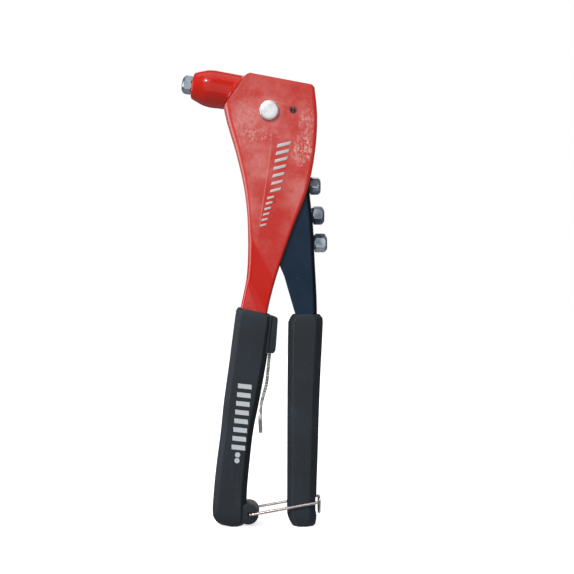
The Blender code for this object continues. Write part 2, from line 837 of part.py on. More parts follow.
def make_pivot_ring(material):
    """The retaining ring in the pin's groove, open on one side."""
    outline = arc(PIVOT_X, PIVOT_Z, 6.3, -60.0, 240.0, 24)
    outline += arc(PIVOT_X, PIVOT_Z, PIVOT_RADIUS - 0.4, 240.0, -60.0, 24)
    obj = prism("pivot_ring", outline, 13.45, 14.15, material)
    keep_one_material(obj, material, 30.0)
    return obj


def make_stop_pin(material):
    """The slit spring pin across the head that stops the lever."""
    length = BODY_HEAD_HALF - 0.1
    outline = arc(STOP_X, STOP_Z, STOP_RADIUS, 105.0, 435.0, 24)
    outline += arc(STOP_X, STOP_Z, STOP_RADIUS * 0.55, 435.0, 105.0, 24)
    obj = prism("stop_pin", outline, -length, length, material)
    keep_one_material(obj, material, 30.0)
    return obj


def grip_ring(z, left, right, half, tilt, left_bevel, right_bevel):
    """One section of a grip: a rectangle with eased corners."""
    middle = 0.5 * (left + right)
    corner = 3.4
    ring = []
    steps = 3
    for way, edge, bevel, near in (
        (1.0, right, right_bevel, -1.0),
        (1.0, right, right_bevel, 1.0),
        (-1.0, left, left_bevel, 1.0),
        (-1.0, left, left_bevel, -1.0),
    ):
        part = []
        for k in range(steps + 1):
            angle = 0.5 * math.pi * k / steps
            x = edge - way * bevel * (1.0 - math.sin(angle))
            y = near * (half - corner * (1.0 - math.cos(angle)))
            part.append((x, y))
        if way * near > 0:
            part.reverse()
        ring += part
    return [(x, y, z - tilt * (x - middle)) for x, y in ring]


def grip_stack(name, stations, left_bevel, right_bevel):
    """The outside of a grip."""
    rings = []
    for z, left, right, half, tilt in stations:
        rings.append(grip_ring(z, left, right, half, tilt, left_bevel, right_bevel))
    return stack(name, rings)


def socket_cutter(name, rows, left_bevel, right_bevel):
    """The hollow that a channel's tang goes into: height, left edge, right edge and half thickness."""
    rings = []
    for z, left, right, half in rows:
        section = (
            (right, -half + right_bevel),
            (right, half - right_bevel),
            (right - right_bevel, half),
            (left + left_bevel, half),
            (left, half - left_bevel),
            (left, -half + left_bevel),
            (left + left_bevel, -half),
            (right - right_bevel, -half),
        )
        rings.append([(x, y, z) for x, y in section])
    return stack(name, rings)


def strap_line(z):
    """Centre of the spanner's straight end inside the pocket."""
    slope = (SPANNER_STRAP[-1][1] - SPANNER_STRAP[-2][1]) / (SPANNER_STRAP[-1][0] - SPANNER_STRAP[-2][0])
    return SPANNER_STRAP[-2][1] + slope * (z - SPANNER_STRAP[-2][0])


def make_fixed_grip(material):
    """The grip on the body, with the spanner's pocket on its inner side and the bail's lug at its foot."""
    obj = grip_stack("fixed_grip", FIXED_GRIP_STATIONS, 3.5, 2.8)
    pocket = (
        (6.0, 122.2),
        (10.2, 121.5),
        (12.9, 120.5),
        (13.7, 119.4),
        (12.6, 104.0),
        (12.3, 101.4),
        (11.5, 100.0),
        (10.9, POCKET_MOUTH),
        (6.0, POCKET_MOUTH),
    )
    combine(obj, prism("pocket_block", pocket, -POCKET_HALF, POCKET_HALF), "UNION")
    lug = cross_cylinder("lug", LUG_X, LUG_Z, LUG_RADIUS, -LUG_HALF, LUG_HALF, 28)
    combine(obj, lug, "UNION")
    rows = []
    for z in [z for z in body_heights() if z < 132.0]:
        front, rear, radius = smooth_row(BODY_STATIONS, z)
        low = z - GAP if z == 50.0 else z
        rows.append((low, front - GAP, rear + GAP, body_half(rear, z) + GAP))
    combine(obj, socket_cutter("tang_socket", rows, 1.6, 0.4), "DIFFERENCE")
    room = SPANNER_HALF_THICK + 0.35
    slot = (
        (strap_line(97.0) - room, 97.0),
        (strap_line(97.0) + room, 97.0),
        (strap_line(POCKET_TOP) + room, POCKET_TOP),
        (strap_line(POCKET_TOP) - room, POCKET_TOP),
    )
    wide = SPANNER_STRAP_HALF + 0.5 + GAP
    combine(obj, prism("pocket_slot", slot, -wide, wide), "DIFFERENCE")
    hole = cross_cylinder("lug_hole", BAIL_X, BAIL_Z, BAIL_WIRE + 0.45, -14.0, 14.0, 20)
    combine(obj, hole, "DIFFERENCE")
    keep_one_material(obj, material, 30.0)
    return obj


def make_moving_grip(material):
    """The grip on the lever, with a shallow notch where the bail lies behind it."""
    obj = grip_stack("moving_grip", MOVING_GRIP_STATIONS, 3.0, 4.0)
    rows = []
    edge = sorted((z, x) for x, z in LEVER_FRONT_EDGE)
    for z in [z for z in lever_heights() if z < 132.0]:
        rear, radius = smooth_row(LEVER_STATIONS, z)
        front = straight_row(edge, z)[0]
        low = z - GAP if z == 50.0 else z
        rows.append((low, front - 2.0 * GAP, rear + GAP, lever_half(0.0, z) + GAP))
    combine(obj, socket_cutter("lever_socket", rows, 0.4, 1.6), "DIFFERENCE")
    notch = ((35.4, 6.6), (50.0, 4.4), (50.0, 20.0), (35.4, 16.9))
    combine(obj, prism("bail_notch", notch, -20.0, 20.0), "DIFFERENCE")
    keep_one_material(obj, material, 30.0)
    set_origin(obj, PIVOT_X, 0.0, PIVOT_Z)
    return obj


def make_spanner(material):
    """The stamped spanner that changes the nosepieces, kept in the grip's pocket."""
    rows = [row for row in SPANNER_STATIONS]
    steps = 2 * SPANNER_TEETH
    for k in range(1, steps + 1):
        z = 76.0 + (99.0 - 76.0) * k / steps
        x = straight_row(SPANNER_STRAP, z)[0]
        rows.append((z, x, SPANNER_STRAP_HALF + (0.5 if k % 2 else -0.2)))
    rows.append((110.0, strap_line(110.0), SPANNER_STRAP_HALF))
    rows.append((116.5, strap_line(116.5), SPANNER_STRAP_HALF))
    rows.append((118.0, strap_line(118.0), SPANNER_STRAP_HALF - 1.2))
    rows.append((118.6, strap_line(118.6), SPANNER_STRAP_HALF - 3.2))
    rings = []
    for index, (z, x, half) in enumerate(rows):
        before = rows[max(index - 1, 0)]
        after = rows[min(index + 1, len(rows) - 1)]
        way = Vector((after[1] - before[1], 0.0, after[0] - before[0])).normalized()
        normal = Vector((way.z, 0.0, -way.x)) * SPANNER_HALF_THICK
        centre = Vector((x, 0.0, z))
        rings.append([
            centre + normal + SIDE * half,
            centre + normal - SIDE * half,
            centre - normal - SIDE * half,
            centre - normal + SIDE * half,
        ])
    obj = stack("spanner", rings)
    reach = 0.5 * SPANNER_EYE_FLATS / math.cos(math.radians(30.0))
    ring = []
    for k in range(6):
        angle = math.radians(60.0 * k)
        ring.append((reach * math.sin(angle), SPANNER_EYE_Z + reach * math.cos(angle)))
    eye = stack("spanner_eye", [[(x, y, z) for y, z in ring] for x in (-4.0, 12.0)])
    combine(obj, eye, "DIFFERENCE")
    keep_one_material(obj, material, 25.0)
    set_origin(obj, strap_line(99.6), 0.0, 99.6)
    return obj


def rounded_path(corners, radius, steps):
    """A path through corners, each one rounded with short straight pieces."""
    path = [corners[0]]
    for before, corner, after in zip(corners, corners[1:], corners[2:]):
        enter = (before - corner).normalized()
        leave = (after - corner).normalized()
        reach = min(radius, 0.45 * (before - corner).length, 0.45 * (after - corner).length)
        start = corner + enter * reach
        end = corner + leave * reach
        for k in range(steps + 1):
            t = k / steps
            path.append(start.lerp(corner, t).lerp(corner.lerp(end, t), t))
    path.append(corners[-1])
    return path


def make_latch_wire(material):
    """The wire bail: hooked into the lug from both sides, with a tongue for the thumb behind the grip."""
    near = []
    for x, y, z in (
        (BAIL_X, 1.2, BAIL_Z),
        (BAIL_X, BAIL_HALF, BAIL_Z),
        (BAIL_REAR_X, BAIL_HALF, BAIL_REAR_Z),
        (BAIL_REAR_X + 0.1, BAIL_TONGUE_HALF, BAIL_REAR_Z + 0.9),
        (BAIL_REAR_X, BAIL_TONGUE_HALF - 0.6, BAIL_TONGUE_Z),
    ):
        near.append(Vector((x, -y, z)))
    far = [Vector((p.x, -p.y, p.z)) for p in reversed(near)]
    path = rounded_path(near + far, 2.6, 5)
    obj = tube("latch_wire", path, BAIL_WIRE, 10, material)
    set_origin(obj, BAIL_X, 0.0, BAIL_Z)
    return obj


def main():
    """Builds every piece."""
    clear_scene()
    red = paint("red_paint", (0.53, 0.021, 0.013), 0.0, 0.32)
    blue = paint("blue_black", (0.014, 0.03, 0.057), 0.35, 0.35)
    black = paint("black_plastic", (0.026, 0.03, 0.034), 0.0, 0.5)
    zinc = paint("bright_zinc", (0.62, 0.64, 0.66), 1.0, 0.25)
    steel = paint("ground_steel", (0.55, 0.55, 0.56), 1.0, 0.35)
    dark = paint("dark_steel", (0.08, 0.08, 0.085), 0.9, 0.4)
    wire = paint("plated_wire", (0.55, 0.52, 0.5), 1.0, 0.25)
    stamped = paint("stamped_steel", (0.5, 0.5, 0.52), 1.0, 0.4)
    make_body_frame(red)
    make_barrel(red)
    make_front_nosepiece(zinc)
    make_spare_nosepieces(zinc)
    make_moving_handle(blue)
    make_pivot_pin(steel)
    make_pivot_ring(dark)
    make_stop_pin(dark)
    make_jaw_case(steel)
    make_jaw("jaw_upper", 1.0, dark)
    make_jaw("jaw_lower", -1.0, dark)
    make_jaw_pusher(steel)
    make_jaw_spring(wire)
    make_drawbar(steel)
    make_trunnion_pin(steel)
    make_fixed_grip(black)
    make_moving_grip(black)
    make_spanner(stamped)
    make_latch_wire(wire)


main()
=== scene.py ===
"""Finished look of a hand riveter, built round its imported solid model.

Sizes are millimetres in the classes and metres in the meshes. The tool stands on the ends of its grips, its nose
points towards -X and its near cheek faces -Y.
"""

from __future__ import annotations

import json
import logging
import math
from dataclasses import dataclass
from enum import Enum
from typing import Callable, Iterable, Sequence, Union

import bmesh
import bpy
from mathutils import Matrix, Vector


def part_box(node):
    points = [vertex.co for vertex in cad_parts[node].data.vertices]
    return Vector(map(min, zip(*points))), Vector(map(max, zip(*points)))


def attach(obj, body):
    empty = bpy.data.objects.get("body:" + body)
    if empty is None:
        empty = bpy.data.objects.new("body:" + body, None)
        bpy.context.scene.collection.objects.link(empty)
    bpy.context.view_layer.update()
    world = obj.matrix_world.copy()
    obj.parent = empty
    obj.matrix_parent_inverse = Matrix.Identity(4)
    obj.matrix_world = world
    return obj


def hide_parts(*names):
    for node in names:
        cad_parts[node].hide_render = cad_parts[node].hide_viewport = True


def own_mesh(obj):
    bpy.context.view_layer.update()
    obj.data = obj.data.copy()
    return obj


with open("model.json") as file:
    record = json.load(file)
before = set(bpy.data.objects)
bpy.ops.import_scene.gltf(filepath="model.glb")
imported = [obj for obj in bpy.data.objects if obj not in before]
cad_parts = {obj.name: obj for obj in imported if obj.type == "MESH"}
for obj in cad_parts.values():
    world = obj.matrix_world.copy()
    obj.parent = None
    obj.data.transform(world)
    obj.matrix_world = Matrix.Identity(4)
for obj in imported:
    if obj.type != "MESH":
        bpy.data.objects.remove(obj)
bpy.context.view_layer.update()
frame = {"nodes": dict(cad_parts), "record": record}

MM = 0.001
LOG = logging.getLogger("riveter")

Colour = tuple[float, float, float]
Flat = tuple[float, float]
Row = tuple[float, ...]
SIDE = Vector((0.0, 1.0, 0.0))
QUARTER = 0.5 * math.pi
THROUGH = 20.0  # half length of a tool that cuts right through


# ---------------------------------------------------------------- numbers


def ease(t: float) -> float:
    """Returns a smooth step from 0 to 1."""
    t = min(max(t, 0.0), 1.0)
    return t * t * (3.0 - 2.0 * t)


def spread(low: float, high: float, steps: int) -> list[float]:
    """Returns evenly spaced values, both ends included."""
    return [low + (high - low) * k / steps for k in range(steps + 1)]


def read(rows: Sequence[Row], place: float, curved: bool = True) -> list[float]:
    """Reads a table whose rows start with a place.

    Args:
        rows: The rows, in rising order of place.
        place: Where to read.
        curved: Whether a smooth curve or straight lines join the rows.

    Returns:
        The other numbers of the row at that place.
    """
    index = 0
    while index < len(rows) - 2 and place > rows[index + 1][0]:
        index += 1
    low, high = rows[index], rows[index + 1]
    span = high[0] - low[0]
    t = (place - low[0]) / span
    if not curved:
        return [a + (b - a) * t for a, b in zip(low[1:], high[1:])]
    ends = [(rows[max(k - 1, 0)], rows[min(k + 1, len(rows) - 1)]) for k in (index, index + 1)]
    shares = (2 * t**3 - 3 * t**2 + 1, (t**3 - 2 * t**2 + t) * span, 3 * t**2 - 2 * t**3, (t**3 - t**2) * span)
    values = []
    for column in range(1, len(low)):
        slopes = [(after[column] - before[column]) / (after[0] - before[0]) for before, after in ends]
        terms = (low[column], slopes[0], high[column], slopes[1])
        values.append(sum(share * term for share, term in zip(shares, terms)))
    return values


def arc(x: float, z: float, radius: float, start: float, end: float, steps: int) -> list[Flat]:
    """Returns points (x, z) along an arc, with angles in degrees from +X towards +Z."""
    angles = [math.radians(a) for a in spread(start, end, steps)]
    return [(x + radius * math.cos(a), z + radius * math.sin(a)) for a in angles]


def rounded(corners: Sequence[Vector], reach: float, steps: int, closed: bool) -> list[Vector]:
    """Rounds the corners of a path.

    Args:
        corners: The path's corners.
        reach: How far from a corner its rounding starts, at most.
        steps: Straight pieces in each rounding.
        closed: Whether the path runs back to its start.

    Returns:
        The points of the rounded path.
    """
    count = len(corners)
    path: list[Vector] = [] if closed else [corners[0]]
    for k in range(count) if closed else range(1, count - 1):
        before, corner, after = corners[k - 1], corners[k], corners[(k + 1) % count]
        near = min(reach, 0.45 * (before - corner).length, 0.45 * (after - corner).length)
        start = corner + (before - corner).normalized() * near
        end = corner + (after - corner).normalized() * near
        path += [start.lerp(corner, t).lerp(corner.lerp(end, t), t) for t in spread(0.0, 1.0, steps)]
    return path if closed else path + [corners[-1]]


# ---------------------------------------------------------------- solids


def mesh_object(name: str, mesh: bpy.types.Mesh) -> bpy.types.Object:
    """Adds a mesh to the scene.

    Args:
        name: Name of the object.
        mesh: Its mesh.

    Returns:
        The object.
    """
    obj = bpy.data.objects.new(name, mesh)
    bpy.context.scene.collection.objects.link(obj)
    return obj


def shade(mesh: bpy.types.Mesh, angle: float) -> None:
    """Shades a mesh smooth, apart from edges sharper than an angle in degrees."""
    mesh.shade_smooth()
    mesh.set_sharp_from_angle(angle=math.radians(angle))


def solid(name: str, points: Iterable[Vector], faces: Iterable[Sequence[int]], angle: float = 35.0) -> bpy.types.Object:
    """Makes a closed mesh object at the origin, with its faces outward.

    Args:
        name: Name of the object.
        points: Points in millimetres.
        faces: Indices of each face's points.
        angle: Edges sharper than this many degrees stay sharp.

    Returns:
        The object.
    """
    work = bmesh.new()
    made = [work.verts.new(Vector(p) * MM) for p in points]
    for face in faces:
        work.faces.new([made[i] for i in face])
    bmesh.ops.recalc_face_normals(work, faces=work.faces)
    mesh = bpy.data.meshes.new(name)
    work.to_mesh(mesh)
    work.free()
    shade(mesh, angle)
    return mesh_object(name, mesh)


def quads(rows: int, count: int, wrap: bool, round_: bool = True) -> list[tuple[int, ...]]:
    """Joins rows of points with quads.

    Args:
        rows: Number of rows.
        count: Points in each row.
        wrap: Whether the last row joins the first.
        round_: Whether each row is a closed ring.

    Returns:
        The faces.
    """
    faces = []
    for row in range(rows if wrap else rows - 1):
        here, there = row * count, ((row + 1) % rows) * count
        for k in range(count if round_ else count - 1):
            nxt = (k + 1) % count
            faces.append((here + k, here + nxt, there + nxt, there + k))
    return faces


def loft(name: str, rings: Sequence[Sequence[Vector]], wrap: bool = False, angle: float = 35.0) -> bpy.types.Object:
    """Makes a solid through closed rings, with flat ends unless it wraps.

    Args:
        name: Name of the object.
        rings: Rings of points in millimetres, with the same count in each.
        wrap: Whether the last ring joins the first.
        angle: Edges sharper than this many degrees stay sharp.

    Returns:
        The solid.
    """
    count = len(rings[0])
    faces = quads(len(rings), count, wrap)
    if not wrap:
        last = (len(rings) - 1) * count
        faces += [tuple(range(count)), tuple(range(last, last + count))]
    return solid(name, [p for ring in rings for p in ring], faces, angle)


def plate(name: str, outline: Sequence[Flat], low: float, high: float) -> bpy.types.Object:
    """Makes a solid with an outline of (x, z) points, from one Y to another."""
    return loft(name, [[Vector((x, y, z)) for x, z in outline] for y in (low, high)])


def applied(obj: bpy.types.Object, angle: float) -> bpy.types.Object:
    """Turns an object's modifiers into plain mesh.

    Args:
        obj: The object.
        angle: Edges sharper than this many degrees stay sharp.

    Returns:
        The same object.
    """
    graph = bpy.context.evaluated_depsgraph_get()
    result = bpy.data.meshes.new_from_object(obj.evaluated_get(graph))
    obj.modifiers.clear()
    obj.data = result
    shade(result, angle)
    return obj


def carved(
    obj: bpy.types.Object, tools: Sequence[bpy.types.Object], operation: str = "DIFFERENCE", angle: float = 35.0
) -> bpy.types.Object:
    """Cuts or joins solids with one exact Boolean.

    Args:
        obj: The solid to change.
        tools: Solids that don't touch each other. They are used up.
        operation: Name of the Boolean.
        angle: Edges sharper than this many degrees stay sharp.

    Returns:
        The changed solid.
    """
    tool = fused("tool", tools) if len(tools) > 1 else tools[0]
    modifier = obj.modifiers.new("carve", "BOOLEAN")
    modifier.operation, modifier.solver, modifier.object = operation, "EXACT", tool
    applied(obj, angle)
    bpy.data.objects.remove(tool, do_unlink=True)
    work = bmesh.new()
    work.from_mesh(obj.data)
    bmesh.ops.remove_doubles(work, verts=work.verts, dist=1e-5)
    bmesh.ops.dissolve_degenerate(work, edges=work.edges, dist=5e-6)
    work.to_mesh(obj.data)
    work.free()
    shade(obj.data, angle)
    return obj


def eased(obj: bpy.types.Object, width: float, steps: int = 2, limit: float = 40.0) -> bpy.types.Object:
    """Rounds the sharp edges of a simple solid.

    Args:
        obj: The solid.
        width: Width of the rounding in millimetres.
        steps: Segments across it.
        limit: Edges flatter than this many degrees are left alone.

    Returns:
        The same solid.
    """
    modifier = obj.modifiers.new("ease", "BEVEL")
    modifier.width, modifier.segments = width * MM, steps
    modifier.limit_method, modifier.angle_limit = "ANGLE", math.radians(limit)
    modifier.miter_outer = "MITER_ARC"
    return applied(obj, 50.0)


def fused(name: str, parts: Sequence[bpy.types.Object]) -> bpy.types.Object:
    """Puts several objects' meshes, with their finishes, into one object.

    Args:
        name: Name of the new object.
        parts: The objects, which are used up.

    Returns:
        The new object.
    """
    work = bmesh.new()
    mesh = bpy.data.meshes.new(name)
    for part in parts:
        first, offset = len(work.faces), len(mesh.materials)
        work.from_mesh(part.data)
        work.faces.ensure_lookup_table()
        for face in work.faces[first:]:
            face.material_index += offset
        for material in part.data.materials:
            mesh.materials.append(material)
        bpy.data.objects.remove(part, do_unlink=True)
    work.to_mesh(mesh)
    work.free()
    return mesh_object(name, mesh)


def dressed(obj: bpy.types.Object, finish: bpy.types.Material) -> bpy.types.Object:
    """Gives a whole object one finish.

    Args:
        obj: The object.
        finish: The material.

    Returns:
        The same object.
    """
    obj.data.materials.clear()
    obj.data.materials.append(finish)
    for face in obj.data.polygons:
        face.material_index = 0
    return obj


@dataclass(frozen=True)
class Axis:
    """A line to turn pieces about: its start, its direction and a direction across it."""

    start: Vector
    along: Vector
    across: Vector

    def point(self, place: float, up: float = 0.0, over: float = 0.0) -> Vector:
        """Returns a point at a place along the line, moved up and over."""
        return self.start + self.along * place + self.across * up + self.along.cross(self.across) * over

    def ring(self, place: float, radius: Radius, count: int, turn: float = 0.0) -> list[Vector]:
        """Returns one ring of points about the line.

        Args:
            place: Place along the line.
            radius: One radius, or a function from the angle to it.
            count: Number of points.
            turn: Angle of the first point.

        Returns:
            The points.
        """
        points = []
        for k in range(count):
            angle = turn + 2.0 * math.pi * k / count
            reach = radius(angle) if callable(radius) else radius
            points.append(self.point(place, reach * math.cos(angle), reach * math.sin(angle)))
        return points

    def turned(self, name: str, profile: Sequence[Flat], count: int, angle: float = 30.0) -> bpy.types.Object:
        """Makes a turned solid from pairs of place and radius."""
        return loft(name, [self.ring(place, radius, count) for place, radius in profile], False, angle)


Radius = Union[float, Callable[[float], float]]


def cross_axis(x: float, z: float) -> Axis:
    """Returns an axis along Y through a point of the side view."""
    return Axis(Vector((x, 0.0, z)), SIDE, Vector((1.0, 0.0, 0.0)))


def cross_hole(x: float, z: float, radius: float, count: int, half: float = THROUGH) -> bpy.types.Object:
    """Makes the cutter of a round hole along Y."""
    return cross_axis(x, z).turned("hole", ((-half, radius), (half, radius)), count)


def joint(name: str) -> dict:
    """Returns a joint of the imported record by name."""
    return next(j for j in frame["record"]["behaviour"]["joints"] if j["name"] == name)


def pulling_axis() -> Axis:
    """Returns the line along which the jaws are pulled, from the barrel's front face backwards."""
    along = -Vector(joint("nosepiece_unscrew")["axis"]).normalized()
    return Axis(Vector((-35.9, 0.0, 255.1)), along, Vector((-along.z, 0.0, along.x)))


def ride(obj: bpy.types.Object, body: str) -> None:
    """Gives a piece its body.

    Args:
        obj: The piece.
        body: Name of the body.
    """
    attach(obj, body)
    LOG.info("%s on %s: %d faces", obj.name, body, len(obj.data.polygons))


def settle(obj: bpy.types.Object, body: str, node: str) -> None:
    """Hands a finished piece to the frame in place of a solid, and logs how it fits the solid's box.

    Args:
        obj: The piece.
        body: Name of the body.
        node: The solid's node.
    """
    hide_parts(node)
    ride(obj, body)
    low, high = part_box(node)
    places = [v.co for v in obj.data.vertices]
    proud = max(max(low[i] - min(p[i] for p in places), max(p[i] for p in places) - high[i]) for i in range(3))
    LOG.info("%s reaches %.2f mm past %s", obj.name, proud / MM, node)


# ---------------------------------------------------------------- shader maths


class Bench:
    """The node tree of one material."""

    def __init__(self, name: str) -> None:
        """Starts an empty material.

        Args:
            name: Its name.
        """
        self.material = bpy.data.materials.new(name)
        self.material.use_nodes = True
        self.tree = self.material.node_tree
        self.tree.nodes.clear()
        self._place: bpy.types.NodeSocket = self.node("ShaderNodeTexCoord").outputs["Object"]

    def node(self, kind: str, settings: dict | None = None, inputs: dict | None = None) -> bpy.types.Node:
        """Adds a node.

        Args:
            kind: The node's type.
            settings: Properties to set first. "stops" holds a ramp's (place, colour) pairs.
            inputs: Values, readings or sockets by input name or index.

        Returns:
            The node.
        """
        node = self.tree.nodes.new(kind)
        for key, value in (settings or {}).items():
            if key != "stops":
                setattr(node, key, value)
                continue
            while len(node.color_ramp.elements) < len(value):
                node.color_ramp.elements.new(1.0)
            for element, (place, colour) in zip(node.color_ramp.elements, value):
                element.position, element.color = place, (*colour, 1.0)
        for key, value in (inputs or {}).items():
            self._feed(node.inputs[key], value)
        return node

    def _feed(self, socket: bpy.types.NodeSocket, value: object) -> None:
        """Links or sets one input.

        Args:
            socket: The input.
            value: A number, colour, reading or socket.
        """
        value = value.socket if isinstance(value, Reading) else value
        if isinstance(value, bpy.types.NodeSocket):
            self.tree.links.new(value, socket)
        elif socket.type == "RGBA" and isinstance(value, tuple):
            socket.default_value = (*value, 1.0)
        else:
            socket.default_value = value

    def parts(self, vector: bpy.types.NodeSocket) -> tuple[Reading, Reading, Reading]:
        """Returns the three numbers of a vector."""
        split = self.node("ShaderNodeSeparateXYZ", inputs={0: vector})
        return Reading(self, split.outputs[0]), Reading(self, split.outputs[1]), Reading(self, split.outputs[2])

    def place(self) -> tuple[Reading, Reading, Reading]:
        """Returns the point's x, y and z on the piece, in metres."""
        return self.parts(self._place)

    def facing(self) -> tuple[Reading, Reading, Reading]:
        """Returns the surface's direction as three numbers."""
        return self.parts(self.node("ShaderNodeNewGeometry").outputs["Normal"])

    def cloud(self, size: float, detail: float = 3.0, rough: float = 0.5, finer: Row = (1.0, 1.0, 1.0)) -> Reading:
        """Adds a noise of about 0.5.

        Args:
            size: Size of its patches in millimetres.
            detail: Number of finer layers.
            rough: Strength of the finer layers.
            finer: How many times finer it is along each axis.

        Returns:
            The noise.
        """
        moved = self.node("ShaderNodeMapping", {"vector_type": "POINT"}, {"Vector": self._place, "Scale": finer})
        inputs = {"Vector": moved.outputs[0], "Scale": 1.0 / (size * MM), "Detail": detail, "Roughness": rough}
        return Reading(self, self.node("ShaderNodeTexNoise", inputs=inputs).outputs[0])

    def rings(self, x: float, z: float, size: float) -> Reading:
        """Adds noise in rings about an axis along Y.

        Args:
            x: The axis's x in millimetres.
            z: Its height in millimetres.
            size: Width of the lines in millimetres.

        Returns:
            The noise.
        """
        px, _, pz = self.place()
        reach = ((px - x * MM) ** 2.0 + (pz - z * MM) ** 2.0) ** 0.5
        inputs = {"W": reach * (1.0 / (size * MM)), "Scale": 1.0}
        return Reading(self, self.node("ShaderNodeTexNoise", {"noise_dimensions": "1D"}, inputs).outputs[0])

    def step(self, value: Reading, low: float, high: float) -> Reading:
        """Adds a smooth step.

        Args:
            value: What is stepped.
            low: Where the result is 0.
            high: Where the result is 1.

        Returns:
            The step.
        """
        settings = {"interpolation_type": "SMOOTHSTEP"}
        node = self.node("ShaderNodeMapRange", settings, {"Value": value, "From Min": low, "From Max": high})
        return Reading(self, node.outputs[0])

    def edge(self, radius: float) -> Reading:
        """Finds edges.

        Args:
            radius: How far an edge reaches, in millimetres.

        Returns:
            The mask, from 0 on flat ground to 1.
        """
        softened = self.node("ShaderNodeBevel", {"samples": 4}, {"Radius": radius * MM})
        inputs = {0: softened.outputs[0], 1: self.node("ShaderNodeNewGeometry").outputs["Normal"]}
        dot = self.node("ShaderNodeVectorMath", {"operation": "DOT_PRODUCT"}, inputs)
        return self.step(1.0 - Reading(self, dot.outputs["Value"]), 0.01, 0.16)

    def mix(self, factor: Operand, first: object, second: object) -> bpy.types.NodeSocket:
        """Mixes two colours and returns the new colour's socket."""
        return self.node("ShaderNodeMix", {"data_type": "RGBA"}, {0: factor, 6: first, 7: second}).outputs[2]

    def bump(self, height: Reading, depth: float, strength: float = 1.0) -> bpy.types.NodeSocket:
        """Returns a normal raised by a height, whose full step is a depth in millimetres."""
        inputs = {"Strength": strength, "Distance": depth * MM, "Height": height}
        return self.node("ShaderNodeBump", inputs=inputs).outputs[0]

    def finish(self, **inputs: object) -> bpy.types.Material:
        """Adds the surface shader.

        Args:
            **inputs: Its inputs, with _ for a space.

        Returns:
            The material.
        """
        shader = self.node("ShaderNodeBsdfPrincipled", inputs={k.replace("_", " "): v for k, v in inputs.items()})
        self.node("ShaderNodeOutputMaterial", inputs={0: shader.outputs[0]})
        return self.material


class Reading:
    """A number in a shader. Arithmetic on it adds Math nodes."""

    def __init__(self, bench: Bench, socket: bpy.types.NodeSocket) -> None:
        """Wraps an output socket."""
        self.bench, self.socket = bench, socket

    def _math(self, operation: str, first: Operand, second: Operand = 0.0) -> Reading:
        """Adds one Math node and returns its result."""
        node = self.bench.node("ShaderNodeMath", {"operation": operation}, {0: first, 1: second})
        return Reading(self.bench, node.outputs[0])

    def __add__(self, other: Operand) -> Reading:
        """Returns self + other."""
        return self._math("ADD", self, other)

    def __mul__(self, other: Operand) -> Reading:
        """Returns self * other."""
        return self._math("MULTIPLY", self, other)

    def __sub__(self, other: Operand) -> Reading:
        """Returns self - other."""
        return self._math("SUBTRACT", self, other)

    def __rsub__(self, other: Operand) -> Reading:
        """Returns other - self."""
        return self._math("SUBTRACT", other, self)

    def __pow__(self, other: Operand) -> Reading:
        """Returns self to a power."""
        return self._math("POWER", self, other)

    def __abs__(self) -> Reading:
        """Returns the size of the number."""
        return self._math("ABSOLUTE", self)

    __radd__, __rmul__ = __add__, __mul__


Operand = Union[Reading, float]


# ---------------------------------------------------------------- finishes


class Zone(Enum):
    """Which part of the red body a coat of enamel is for."""

    CHEEK = "cheek"
    BARREL = "barrel"


